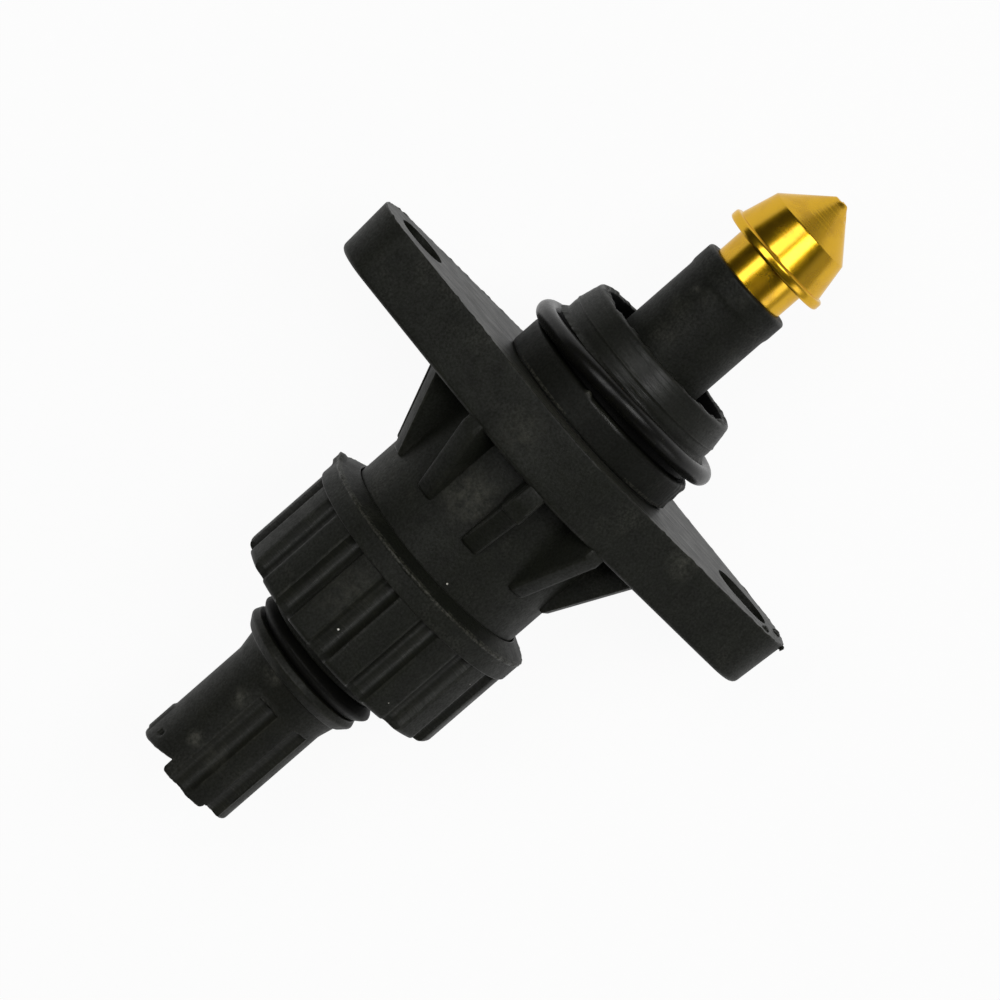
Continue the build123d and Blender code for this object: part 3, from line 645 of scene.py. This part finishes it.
# dust in the crevice; pale specks on the mounting face, strongest about 7 degrees round, are dust and painted
# reflection
mark(body_core.data, "dusty", 0.4 * dirty + 0.5 * on_face * nearness(a, 7.0, 65.0))
body_smudges = (
    (-13.5, 3.8, 12.2, 4.2, 0.3, "#66655a"),
    (-18.7, 11.9, 4.7, 4.5, 0.12, "#66655a"),
    (-4.0, 5.9, 16.0, 3.5, 0.16, "#66655a"),
    (-1.1, -17.4, 11.1, 2.4, 0.25, "#77766c"),
    (4.3, 4.0, 12.0, 0.9, 0.6, "#66655a"),
    (19.7, 4.0, 4.5, 0.8, 0.4, "#77766c"),
    (17.2, 4.0, 4.5, 1.8, 0.16, "#66655a"),
    (20.2, 2.5, 5.5, 1.4, 0.22, "#66655a"),
    (14.2, 2.5, 5.5, 1.6, 0.2, "#66655a"),
    (22.6, 0.2, 6.1, 1.6, 0.18, "#66655a"),
    (18.2, -4.1, 4.4, 0.9, 0.18, "#66655a"),
    (-21.9, -1.6, 12.7, 0.13, 4.0, "#cfcdc2"),
)
body_nylon = moulded_nylon("body_nylon", "#11120d", "#191b14", 0.0, body_smudges)
body_core.name = "valve_body_moulding"
dress(body_core, body_nylon, "housing", "body_plastic", "valve_body")

# Motor and bearing: the pieces inside the barrel keep their solids. Steel cups and claw plates carry
# two bobbins of enamelled wire; the ferrite rotor turns in a bronze bush and a small ball bearing. The
# spring washer, the rubber gasket and the tinned terminals of the connector are dressed with them.


def worked_metal(name, colour, shade, roughness, mark_size, brushed):
    """Metal with the marks of its making: fine lines or grain that vary its gloss and its tone."""
    material, tree, output = new_material(name)
    place = add(tree, "TexCoord").outputs["Object"]
    stretch = (1.0, 1.0, 0.08) if brushed else (1.0, 1.0, 1.0)
    place = add(tree, "Mapping", {"Vector": place, "Scale": stretch}).outputs[0]
    marks = add(tree, "TexNoise", {"Vector": place, "Scale": 1 / (mark_size * MM), "Detail": 4})
    marks = marks.outputs["Fac"]
    tone = add(tree, "ValToRGB", {"Fac": marks}, [(0.35, linear(shade)), (0.65, linear(colour))])
    gloss = add(tree, "MapRange", {"Value": marks, 1: 0.3, 2: 0.7, 3: roughness + 0.12, 4: roughness})
    bump = add(tree, "Bump", {"Strength": 0.2, "Distance": 0.02 * MM, "Height": marks})
    shader = add(tree, "BsdfPrincipled", {"Base Color": tone.outputs[0], "Metallic": 1.0,
                                          "Roughness": gloss.outputs[0], "Normal": bump.outputs[0]})
    tree.links.new(shader.outputs[0], output.inputs[0])
    return material


def plain_moulding(name, colour, shade, roughness, grain_size):
    """Moulded, wound or pressed stuff without metal gloss: a grain that shifts its tone and its sheen."""
    material, tree, output = new_material(name)
    place = add(tree, "TexCoord").outputs["Object"]
    grain = add(tree, "TexNoise", {"Vector": place, "Scale": 1 / (grain_size * MM), "Detail": 4})
    grain = grain.outputs["Fac"]
    tone = add(tree, "ValToRGB", {"Fac": grain}, [(0.35, linear(shade)), (0.65, linear(colour))])
    gloss = add(tree, "MapRange", {"Value": grain, 1: 0.3, 2: 0.7, 3: roughness + 0.1, 4: roughness})
    bump = add(tree, "Bump", {"Strength": 0.25, "Distance": 0.03 * MM, "Height": grain})
    shader = add(tree, "BsdfPrincipled", {"Base Color": tone.outputs[0], "Roughness": gloss.outputs[0],
                                          "IOR": 1.5, "Normal": bump.outputs[0]})
    tree.links.new(shader.outputs[0], output.inputs[0])
    return material


zinc_sheet = worked_metal("zinc_plated_sheet", "#b9bcbd", "#9a9ea1", 0.35, 0.5, False)
ground_steel = worked_metal("ground_bearing_steel", "#c4c4c2", "#a8a8a6", 0.2, 0.15, True)
sintered_bronze = worked_metal("sintered_bronze", "#a5794a", "#7d5a34", 0.45, 0.25, False)
enamelled_wire = worked_metal("enamelled_copper_wire", "#b5653a", "#7e3f22", 0.3, 0.2, True)
tinned_brass = worked_metal("tinned_brass", "#c9c6bc", "#aaa69a", 0.3, 0.3, True)
natural_nylon = plain_moulding("natural_nylon", "#ddd8c8", "#cdc7b4", 0.5, 0.8)
bonded_ferrite = plain_moulding("bonded_ferrite", "#3a3a3b", "#2b2b2c", 0.6, 0.3)
gasket_rubber = plain_moulding("gasket_rubber", "#1c1c1d", "#141415", 0.6, 0.5)
inner_finish = {
    zinc_sheet: [
        "front_stator_cup",
        "rear_stator_cup",
        "front_claw_plate",
        "rear_claw_plate",
        "motor_end_plate",
    ],
    ground_steel: ["bearing_outer_ring", "bearing_inner_ring", "bearing_balls", "spring_washer"],
    sintered_bronze: ["front_bush"],
    enamelled_wire: ["front_coil", "rear_coil"],
    natural_nylon: ["front_bobbin", "rear_bobbin", "rotor_hub"],
    bonded_ferrite: ["rotor_magnet"],
    gasket_rubber: ["cover_gasket"],
    tinned_brass: [f"terminal_{number}" for number in (1, 2, 3, 4)],
}
for material, names in inner_finish.items():
    for name in names:
        solid = frame["nodes"][name]
        solid.data.materials.clear()
        solid.data.materials.append(material)

# Lead screw: the steel motor shaft, ground where it runs in the bearings and rolled with a right-hand
# thread of 1 mm lead where it works in the pintle.
screw_rear = -28.2
screw_front = 15.0
screw_radius = 2.0
thread_rear = 1.5
thread_lead = 1.0
thread_depth = 0.45


def thread_relief(x, r, a):
    """Rolled thread on the front end of the shaft."""
    wave = np.abs(((x / thread_lead + a / (2 * math.pi)) % 1) * 2 - 1)
    cut = thread_depth * np.clip(1.4 * wave - 0.2, 0, 1)
    on_thread = (r > screw_radius - 0.01) & (x > thread_rear) & (x < screw_front - 0.3)
    return x, np.where(on_thread, r - cut, r)


lead_screw = turned(
    "threaded_shaft",
    [
        (screw_rear, 0, 0, 1),
        (screw_rear, screw_radius, 0.15, 2),
        (thread_rear - 0.2, screw_radius, 0, 0.06),
        (screw_front, screw_radius, 0.3, 0.5),
        (screw_front, 0, 0, 8),
    ],
    around(48),
    thread_relief,
)
dress(lead_screw, ground_steel, "rotor", "bright_steel", "lead_screw", sharp=50)

# Pintle: turned from bright brass bar, a stem that slides in the snout, a stop disc, the seat taper
# and the cone. The stem has two keyways that run on the keys of the snout, and a pocket for the screw.
stem_rear = 2.0
stem_radius = 4.975
pocket_radius = 2.05
pocket_front = 22.5
disc_rear = 27.7
disc_front = 28.9
disc_radius = 7.1
seat_base_radius = 6.5
seat_front = 33.3
seat_end_radius = 5.5
tip_front = 38.0
tip_radius = 0.85
keyway_front = 18.0
keyway_half_width = 1.2
keyway_depth = 1.0
keyway_edge_angle = 14.4
stem_seen = 24.0
burr_angle = -35.0
burr_length = 0.16
nick_x = 37.0
nick_angle = -66.0
nick_depth = 0.2


def pintle_relief(x, r, a):
    """Keyways in the stem, a nick in the cone and a burr at the tip."""
    sideways = r * np.cos(a)
    in_key = (np.abs(sideways) < keyway_half_width) & (x < keyway_front) & (r > pocket_radius + 0.5)
    floor = (stem_radius - keyway_depth) / np.maximum(np.abs(np.sin(a)), 0.2)
    r = np.where(in_key, np.minimum(r, floor), r)
    burr = nearness(x, tip_front, 0.35) * nearness(angle_from(a, burr_angle), 0, 70) * (r > 0.05)
    x = x + burr_length * burr
    nick = nearness(x, nick_x, 0.35) * nearness(angle_from(a, nick_angle), 0, 14)
    return x, r - nick_depth * nick


pintle = turned(
    "brass_pintle",
    [
        (stem_rear, pocket_radius, 0.1, 1),
        (stem_rear, stem_radius, 0.25, 1),
        (stem_seen, stem_radius, 0, 0.2),
        (disc_rear, stem_radius, 0.15, 0.3),
        (disc_rear, disc_radius, 0.35, 0.2),
        (disc_front, disc_radius, 0.35, 0.2),
        (disc_front, seat_base_radius, 0.1, 0.2),
        (seat_front, seat_end_radius, 0.12, 0.2),
        (tip_front, tip_radius, 0.25, 0.15),
        (tip_front, 0, 0, 9),
        (pocket_front, 0, 0, 1),
        (pocket_front, pocket_radius, 0, 4),
    ],
    around(220, [side + turn * keyway_edge_angle for side in (90, 270) for turn in (-1, 1)]),
    pintle_relief,
)


def turned_brass():
    """Free-cutting brass, turned and left bright under a film of oil: rings from the tool break its
    reflections into fine lines, the film whitens its highlights, and tarnish browns it in patches."""
    ring_pitch, tarnish_size, speck_size = 0.22, 3.0, 0.4
    material, tree, output = new_material("turned_brass")
    place = add(tree, "TexCoord").outputs["Object"]
    along = add(tree, "SeparateXYZ", {0: place}).outputs[0]
    # tool rings are nearer 0.08 mm apart, drawn coarser so that they show
    turns = add(tree, "Math", {0: along, 1: 1 / (ring_pitch * MM)}, operation="MULTIPLY").outputs[0]
    rings = add(tree, "TexNoise", {"W": turns, "Scale": 1.0, "Detail": 2}, noise_dimensions="1D")
    tarnish = add(tree, "TexNoise", {"Vector": place, "Scale": 1 / (tarnish_size * MM), "Detail": 5})
    specks = add(tree, "TexNoise", {"Vector": place, "Scale": 1 / (speck_size * MM), "Detail": 2})
    brown = add(tree, "ValToRGB", {"Fac": tarnish.outputs["Fac"]}, [(0.5, 0.0), (0.75, 0.4)])
    bright, tarnished = linear("#d9a918"), linear("#a36e1a")
    tone = add(tree, "Mix", {0: brown.outputs[0], 6: bright, 7: tarnished}, data_type="RGBA")
    spot = add(tree, "ValToRGB", {"Fac": specks.outputs["Fac"]}, [(0.72, 0.0), (0.82, 0.35)])
    tone = add(tree, "Mix", {0: spot.outputs[0], 6: tone.outputs[2], 7: linear("#6d4c1c")}, data_type="RGBA")
    gloss = add(tree, "MapRange", {"Value": tarnish.outputs["Fac"], 1: 0.3, 2: 0.7, 3: 0.2, 4: 0.3})
    bump = add(tree, "Bump", {"Strength": 0.5, "Distance": 0.012 * MM, "Height": rings.outputs["Fac"]})
    shader = add(tree, "BsdfPrincipled", {"Base Color": tone.outputs[2], "Metallic": 1.0,
                                          "Specular Tint": linear("#ffe9a0"), "Roughness": gloss.outputs[0],
                                          "Coat Weight": 0.5, "Coat Roughness": 0.14,
                                          "Normal": bump.outputs[0]})
    tree.links.new(shader.outputs[0], output.inputs[0])
    return material


dress(pintle, turned_brass(), "pintle", "pintle_brass", "pintle")

# Connector tail: one nylon moulding whose front plug closes the motor bore. Behind its clamp flange come
# a seal groove, a ring, a flare and the keyed shroud, whose mouth is cut by two slanted notches.
plug_front = -24.5
plug_radius = 11.2
plug_bore_radius = 8.4
plug_floor = -31.0
clamp_front = -34.0
clamp_rear = -36.1
tail_root_radius = 8.5
tail_groove_front = -39.8
tail_groove_rear = -42.26
tail_groove_radius = 6.625
ring_rear = -44.21
ring_radius = 8.75
ring_lean = 0.3
ring_lean_angle = 7.0
flare_rear = -46.91
flare_radius = 7.35
shroud_radius = 6.78
mouth = -61.66
mouth_run = 3.0
tail_turn = 2.5
notch_depth = 1.6
notch_span = (2.75, 6.7)
small_notch_depth = 0.75
small_notch_span = (3.6, 7.2)
notch_round = 0.45
socket_radius = 5.4
socket_floor = -48.71
keyway_end = -47.61
shroud_keyways = ((0.0, 3.1), (-46.5, 2.8))
shroud_keyway_depth = 0.9
rib_start = -61.06
rib_end = -57.06
rib_half_width = 0.9
rib_height = 0.22
dent_x = -59.6
dent_angle = 60.0
dent_depth = 0.45


def hollow(a, degrees, width, depth, rim_radius):
    """Radius of a round-bottomed groove along the axis, seen from the axis; far away where it isn't."""
    bend = (width**2 / 4 + depth**2) / (2 * depth)
    distance = rim_radius - depth + bend
    off = np.radians(angle_from(a, degrees))
    inside = bend**2 - (distance * np.sin(off)) ** 2
    near = (np.abs(off) < math.pi / 2) & (inside > 0)
    return np.where(near, distance * np.cos(off) - np.sqrt(np.maximum(inside, 0)), 99.0)


def blended_low(first, second, size):
    """Lower of two heights, with the corner between them rounded by about the size."""
    share = np.clip(0.5 + (second - first) / (2 * size), 0, 1)
    return second + (first - second) * share - size * share * (1 - share)


def tail_relief(x, r, a):
    """Keyways, notches and side rib of the shroud, the leaning ring and the wear of the mouth."""
    outer = (r > socket_radius + 0.25) & (x < flare_rear + 1.0)
    for degrees, width in shroud_keyways:
        groove = hollow(a, degrees + tail_turn, width, shroud_keyway_depth, shroud_radius)
        groove = groove + 3.0 * np.clip((x - keyway_end) / 0.25, 0, 1)
        r = np.where(outer, blended_low(r, groove, 0.12), r)
    off_rib = np.radians(angle_from(a, 90 + tail_turn)) * shroud_radius
    on_rib = nearness(off_rib, 0, rib_half_width * 1.3) ** 0.25
    r = r + rib_height * on_rib * outer * (x > rib_start) * (x < rib_end)
    on_ring = (x > ring_rear - 0.05) & (x < tail_groove_rear + 0.05) & (r > flare_radius + 0.1)
    lean = ring_lean * np.sin(a - math.radians(ring_lean_angle)) * on_ring
    stretch = np.clip((x - (mouth + mouth_run)) / -mouth_run, 0, 1)
    off = np.radians(angle_from(a, tail_turn))
    across = np.where(np.abs(off) < math.pi / 2, shroud_radius * np.sin(off), 0)
    upper = notch_depth * (notch_span[1] - across) / (notch_span[1] - notch_span[0])
    lower = small_notch_depth * (small_notch_span[1] + across) / (small_notch_span[1] - small_notch_span[0])
    cut = np.where(across > notch_span[0], np.maximum(upper, 0), 0)
    cut = cut + np.where(across < -small_notch_span[0], lower, 0)
    for corner, side in ((notch_span[0], 1), (-small_notch_span[0], -1)):
        past = np.clip((side * (across - corner) + notch_round) / notch_round, 0, 1)
        cut = np.where(side * (across - corner) < 0, cut + notch_round * (1 - np.sqrt(1 - past**2)), cut)
    worn = 0.05 * ripple(a[0], 40, 11.5) + 0.05 * ripple(a[0], 120, 12.5)
    r = r - dent_depth * nearness(x, dent_x, 0.6) * nearness(angle_from(a, dent_angle), 0, 5) * outer
    return x + stretch * (cut + worn * (stretch > 0.9)) + lean, r + lean


notch_edge = math.degrees(math.asin(notch_span[0] / shroud_radius))
small_notch_edge = math.degrees(math.asin(small_notch_span[0] / shroud_radius))
tail = turned(
    "connector_tail_moulding",
    [
        (plug_front, plug_bore_radius, 0.2, 1.5),
        (plug_front, plug_radius, 0.3, 3),
        (clamp_front, plug_radius, 0, 1),
        (clamp_front, barrel_radius, 0.2, 1),
        (clamp_rear, barrel_radius, 0.2, 1),
        (clamp_rear, tail_root_radius, 0.2, 0.4),
        (tail_groove_front, tail_root_radius, 0.2, 0.5),
        (tail_groove_front, tail_groove_radius, 0.15, 0.5),
        (tail_groove_rear, tail_groove_radius, 0.15, 0.4),
        (tail_groove_rear, ring_radius - 0.35, 0.2, 0.25),
        (tail_groove_rear - 0.9, ring_radius, 0.4, 0.25),
        (ring_rear, ring_radius - 0.8, 0.2, 0.3),
        (ring_rear, flare_radius, 0.25, 0.3),
        (flare_rear, shroud_radius, 2.0, 0.3),
        (keyway_end + 0.3, shroud_radius, 0, 0.12),
        (keyway_end - 0.3, shroud_radius, 0, 0.35),
        (mouth + mouth_run + 0.1, shroud_radius, 0, 0.3),
        (mouth, shroud_radius, 0.3, 0.3),
        (mouth, socket_radius, 0.2, 0.3),
        (mouth + mouth_run + 0.1, socket_radius, 0, 1.5),
        (socket_floor, socket_radius, 0.3, 2),
        (socket_floor, 0, 0, 18),
        (plug_floor, 0, 0, 3),
        (plug_floor, plug_bore_radius, 0.3, 2.5),
    ],
    around(256, (tail_turn + notch_edge, tail_turn - small_notch_edge)),
    tail_relief,
)
tail_smudges = (
    (-56.4, 3.1, 6.1, 1.4, 0.34, "#77766c"),
    (-49.4, 3.2, 6.0, 1.5, 0.28, "#77766c"),
    (-44.4, 2.8, 6.6, 1.7, 0.34, "#77766c"),
    (-56.2, 0.0, 5.9, 2.4, 0.2, "#66655a"),
    (-61.2, -4.9, 4.7, 0.9, 0.9, "#4a2e16"),
)
x, r, a, facing = face_places(tail.data)
in_keyway = (x > mouth + 0.3) & (x < keyway_end - 0.2) & (r > socket_radius + 0.3) & (r < shroud_radius - 0.1)
mark(tail.data, "polished", 0.5 * (in_keyway & (np.abs(facing) < 0.5)))
tail_nylon = moulded_nylon("tail_nylon", "#11120d", "#191a13", 3.1, tail_smudges)
dress(tail, tail_nylon, "housing", "tail_plastic", "connector_tail")

# Connector seal: a rubber ring in the groove in front of the tail ring, taken up a little to one side.
# Flange seal: a larger ring in the spigot groove that the port squeezes. Both are moulded in nitrile; the
# first is dusty, and the second still wet with oil.


def seal_rubber(name, rough, shine):
    """Black nitrile rubber: darker than the nylon, glossy with oil or dull with dust as set."""
    grain_size, dust_size = 0.6, 0.25
    material, tree, output = new_material(name)
    place = add(tree, "TexCoord").outputs["Object"]
    grain = add(tree, "TexNoise", {"Vector": place, "Scale": 1 / (grain_size * MM), "Detail": 4})
    dust = add(tree, "TexNoise", {"Vector": place, "Scale": 1 / (dust_size * MM), "Detail": 2})
    shades = [(0.35, linear("#0b0b0a")), (0.7, linear("#13130f"))]
    tone = add(tree, "ValToRGB", {"Fac": grain.outputs["Fac"]}, shades)
    dusty = add(tree, "ValToRGB", {"Fac": dust.outputs["Fac"]}, [(0.7, 0.0), (0.8, 0.15)])
    tone = add(tree, "Mix", {0: dusty.outputs[0], 6: tone.outputs[0], 7: linear("#77756e")}, data_type="RGBA")
    gloss = add(tree, "MapRange", {"Value": grain.outputs["Fac"], 1: 0.3, 2: 0.7, 3: rough + 0.1, 4: rough})
    bump = add(tree, "Bump", {"Strength": 0.2, "Distance": 0.02 * MM, "Height": grain.outputs["Fac"]})
    shader = add(tree, "BsdfPrincipled", {"Base Color": tone.outputs[2], "Roughness": gloss.outputs[0],
                                          "IOR": 1.52, "Specular IOR Level": shine,
                                          "Normal": bump.outputs[0]})
    tree.links.new(shader.outputs[0], output.inputs[0])
    return material


def seal_ring(name, x, ring_radius, section_radius, narrow, lean, forward):
    """Rubber ring about the valve axis with a narrowed crest; it leans along +Y and +Z is pushed forward."""
    columns = around(240)
    section = np.linspace(0, 2 * math.pi, 36, endpoint=False)[:, None]
    r = ring_radius + section_radius * np.sin(section) + 0.04 * ripple(columns, 14, ring_radius)
    near = np.clip(np.cos(columns), 0, 1) ** 2
    along = section_radius * np.cos(section) * (1 - narrow * np.clip(np.sin(section), 0, 1))
    along = x + along + lean * np.sin(columns) + forward * near
    r = r + 0.2 * forward * near
    return ring_mesh(name, np.stack([along, r * np.sin(columns), r * np.cos(columns)], axis=-1))


connector_seal = seal_ring(
    "connector_seal", x=-41.0, ring_radius=7.82, section_radius=1.17, narrow=0.5, lean=0.3, forward=0.0
)
dusty_nitrile = seal_rubber("dusty_nitrile", rough=0.5, shine=0.12)
dress(connector_seal, dusty_nitrile, "housing", "seal_rubber", "connector_o_ring")
flange_seal = seal_ring(
    "flange_seal", x=5.55, ring_radius=12.7, section_radius=1.15, narrow=0.0, lean=-0.4, forward=0.65
)
oiled_nitrile = seal_rubber("oiled_nitrile", rough=0.26, shine=0.22)
dress(flange_seal, oiled_nitrile, "housing", "seal_rubber", "flange_o_ring")

# Retaining nut: a nylon collar screwed over the barrel end. Fifteen round flutes give a grip behind its
# plain rim, and its back wall holds the clamp flange of the tail against the gasket.
nut_front = -22.5
nut_bore_radius = 12.95
nut_rim_radius = 15.55
nose_corner = (-23.65, 15.5)
rim_rear = -26.3
nut_land_radius = 15.3
nut_rear = -37.9
nut_hole_radius = 8.9
nut_rear_round = 0.8
flute_count = 15
flute_width = 3.0
flute_depth = 1.25
flute_first = 9.5
flash_height = 0.2
nub_angle = 97.0
nub_x = -23.9
nub_rear = -24.2
nub_push = 0.35
nub_height = 0.4


def nut_relief(x, r, a):
    """Flutes behind the rim, and the ragged parting line and the gate nub on it."""
    turn = a[0]
    pitch = 360 / flute_count
    nearest = flute_first + pitch * np.round(angle_from(a, flute_first) / pitch)
    off = np.radians((np.degrees(a) - nearest + 180) % 360) - math.pi
    flute = hollow(off, 0.0, flute_width, flute_depth, nut_land_radius)
    flute_floor = np.minimum(flute, nut_land_radius + 0.4)
    grooved = blended_low(np.full_like(r, nut_land_radius), flute_floor, 0.1)
    outside = (x < clamp_rear - 1.0) | (r > nut_bore_radius + 0.5)
    outside = outside & (x < rim_rear - 0.01) & (r > nut_hole_radius + 0.3)
    on_side = outside & (r > nut_land_radius - 1.0)
    edge_radius = np.minimum(grooved, nut_land_radius - nut_rear_round)
    share = np.clip((r - nut_hole_radius) / (nut_land_radius - nut_rear_round - nut_hole_radius), 0, 1)
    on_back = outside & (x < nut_rear + 0.02) & (r <= nut_land_radius - nut_rear_round + 0.01)
    r = np.where(on_side, np.minimum(r, grooved), r)
    r = np.where(on_back, nut_hole_radius + share * (edge_radius - nut_hole_radius), r)
    seam = nearness(x, nose_corner[0] - 0.1, 0.35) * (r > nut_land_radius - 0.2)
    height = np.clip(0.35 + 0.8 * ripple(turn, 70, 21.5) + 0.6 * ripple(turn, 200, 22.5), 0, 1.2)
    nub = nearness(angle_from(a, nub_angle), 0, 10) * np.clip(2 * nearness(x, nub_x, 1.0), 0, 1)
    nub = nub * (r > nut_rim_radius - 0.5)
    return x + nub_push * nub * (x > nub_rear), r + seam * flash_height * height + nub_height * nub


nut = turned(
    "retaining_nut_moulding",
    [
        (nut_front, nut_bore_radius, 0.15, 0.4),
        (*nose_corner, 0.1, 0.06),
        (nose_corner[0] - 0.5, nut_rim_radius, 0, 0.3),
        (rim_rear, nut_rim_radius, 0.12, 0.1),
        (rim_rear, nut_land_radius, 0, 0.1),
        (rim_rear - 0.06, nut_land_radius, 0, 0.4),
        (nut_rear, nut_land_radius, nut_rear_round, 0.5),
        (nut_rear, nut_hole_radius, 0.25, 0.5),
        (clamp_rear, nut_hole_radius, 0.1, 1),
        (clamp_rear, nut_bore_radius, 0, 3),
    ],
    around(flute_count * 24),
    nut_relief,
)
x, r, a, facing = face_places(nut.data)
mark(nut.data, "dusty", np.where((np.abs(x - nose_corner[0]) < 0.3) & (r > nut_land_radius), 0.3, 0.0))
in_flute = (x > nut_rear + 0.9) & (x < rim_rear - 0.1)
in_flute = in_flute & (r > nut_bore_radius + 0.6) & (r < nut_land_radius - 0.2)
mark(nut.data, "polished", 0.6 * in_flute)
nut_smudges = (
    (-30.7, 5.4, 14.3, 4.5, 0.16, "#66655a"),
    (-34.2, 2.7, 13.9, 0.15, 6.0, "#efede4"),
    (-35.7, -7.3, 13.5, 0.1, 4.0, "#cfcdc2"),
    (-28.0, 9.6, 11.9, 0.1, 4.0, "#cfcdc2"),
    (-28.3, -12.3, 9.0, 0.1, 4.0, "#cfcdc2"),
)
nut_nylon = moulded_nylon("nut_nylon", "#11120d", "#181a13", 7.7, nut_smudges)
dress(nut, nut_nylon, "housing", "nut_plastic", "retaining_nut")

# Studio: a white paper table top under a broad soft box on the side of the round bolt hole, a fill box
# on the side of the tip and a weak board opposite. The table and the sky show white to the camera, the
# table also in gloss, and the table keeps the shadow of the valve.
table_height = -17.15 * MM
table_size = 2.5
fibre_size = 1.5
table_whiteness = 0.94
gloss_share = 0.85
box_distance = 0.9
sky_axis = (0.12, 0.41, 0.904)


def backdrop_white(tree, shaded, colour, whiteness):
    """Mixes plain white into a shaded surface for camera, gloss and glass rays."""
    path = add(tree, "LightPath")
    direct = {0: path.outputs["Is Camera Ray"], 1: path.outputs["Is Transmission Ray"]}
    seen = add(tree, "Math", direct, operation="MAXIMUM")
    mirrored = add(tree, "Math", {0: path.outputs["Is Glossy Ray"], 1: gloss_share}, operation="MULTIPLY")
    seen = add(tree, "Math", {0: seen.outputs[0], 1: mirrored.outputs[0]}, operation="MAXIMUM")
    share = add(tree, "Math", {0: seen.outputs[0], 1: whiteness}, operation="MULTIPLY")
    white = add(tree, "Emission", {"Color": colour, "Strength": 1.0})
    return add(tree, "MixShader", {0: share.outputs[0], 1: shaded, 2: white.outputs[0]}).outputs[0]


table_mesh = bpy.data.meshes.new("table_top")
edge = table_size / 2
table_corners = [(-edge, -edge, 0), (edge, -edge, 0), (edge, edge, 0), (-edge, edge, 0)]
table_mesh.from_pydata(table_corners, [], [(0, 1, 2, 3)])
table = bpy.data.objects.new("table_top", table_mesh)
table.location.z = table_height
scene.collection.objects.link(table)
paper, tree, output = new_material("white_paper")
place = add(tree, "TexCoord").outputs["Object"]
fibres = add(tree, "TexNoise", {"Vector": place, "Scale": 1 / (fibre_size * MM)}).outputs["Fac"]
tint = add(tree, "ValToRGB", {"Fac": fibres}, [(0.3, linear("#efefee")), (0.7, linear("#f6f6f5"))])
sheet = add(tree, "BsdfDiffuse", {"Color": tint.outputs[0]})
paper_white = backdrop_white(tree, sheet.outputs[0], linear("#ffffff"), table_whiteness)
tree.links.new(paper_white, output.inputs[0])
table_mesh.materials.append(paper)

sky = bpy.data.worlds.new("studio_dark")
sky.use_nodes = True
sky.node_tree.nodes.clear()
tree = sky.node_tree
# the bright lower sky reaches higher on the -Y side, like a reflector board
direction = add(tree, "TexCoord").outputs["Generated"]
height = add(tree, "VectorMath", {0: direction, 1: sky_axis}, operation="DOT_PRODUCT").outputs["Value"]
fall = add(tree, "ValToRGB", {"Fac": height}, [(0.12, linear("#a8a8a8")), (0.36, linear("#363636"))])
camera_ray = add(tree, "LightPath").outputs["Is Camera Ray"]
seen = add(tree, "Mix", {0: camera_ray, 6: fall.outputs[0], 7: linear("#ffffff")}, data_type="RGBA")
background = add(tree, "Background", {"Color": seen.outputs[2], "Strength": 1.0})
tree.links.new(background.outputs[0], add(tree, "OutputWorld").inputs[0])
scene.world = sky

for name, length, width, power, towards_tip, towards_hole in (
    ("soft_box", 0.7, 0.36, 2.9, 9.0, 27.0),
    ("fill_box", 0.32, 0.5, 2.8, 26.0, -12.0),
    ("reflector_board", 0.32, 0.32, 0.5, -12.0, -62.0),
):
    lamp = bpy.data.lights.new(name, "AREA")
    lamp.shape = "RECTANGLE"
    lamp.size = length
    lamp.size_y = width
    lamp.energy = power
    light = bpy.data.objects.new(name, lamp)
    aim = Vector((math.tan(math.radians(towards_tip)), math.tan(math.radians(towards_hole)), 1)).normalized()
    light.location = aim * box_distance
    light.rotation_euler = aim.to_track_quat("Z", "Y").to_euler()
    scene.collection.objects.link(light)

# Camera: a long lens above the table, a little towards the tip and the round bolt hole, rolled so that the
# valve lies aslant in the picture.
camera_distance = 0.5175
camera_lens = 164.6
camera_aim = -13.14 * MM
camera_towards_tip = math.radians(8.65)
camera_towards_hole = math.radians(7.2)
camera_roll = math.radians(41.05)
away = Vector((math.sin(camera_towards_tip), math.cos(camera_towards_tip) * math.sin(camera_towards_hole),
               math.cos(camera_towards_tip) * math.cos(camera_towards_hole)))
along = (Vector((1, 0, 0)) - away * away.x).normalized()
beside = away.cross(along)
right = along * math.cos(camera_roll) - beside * math.sin(camera_roll)
upward = along * math.sin(camera_roll) + beside * math.cos(camera_roll)
camera = bpy.data.objects.new("photo_camera", bpy.data.cameras.new("photo_camera"))
camera.data.lens = camera_lens
camera_turn = Matrix((right, upward, away)).transposed().to_4x4()
camera.matrix_world = Matrix.Translation(Vector((camera_aim, 0, 0)) + away * camera_distance) @ camera_turn
scene.collection.objects.link(camera)
scene.camera = camera
scene.view_settings.view_transform = "Standard"
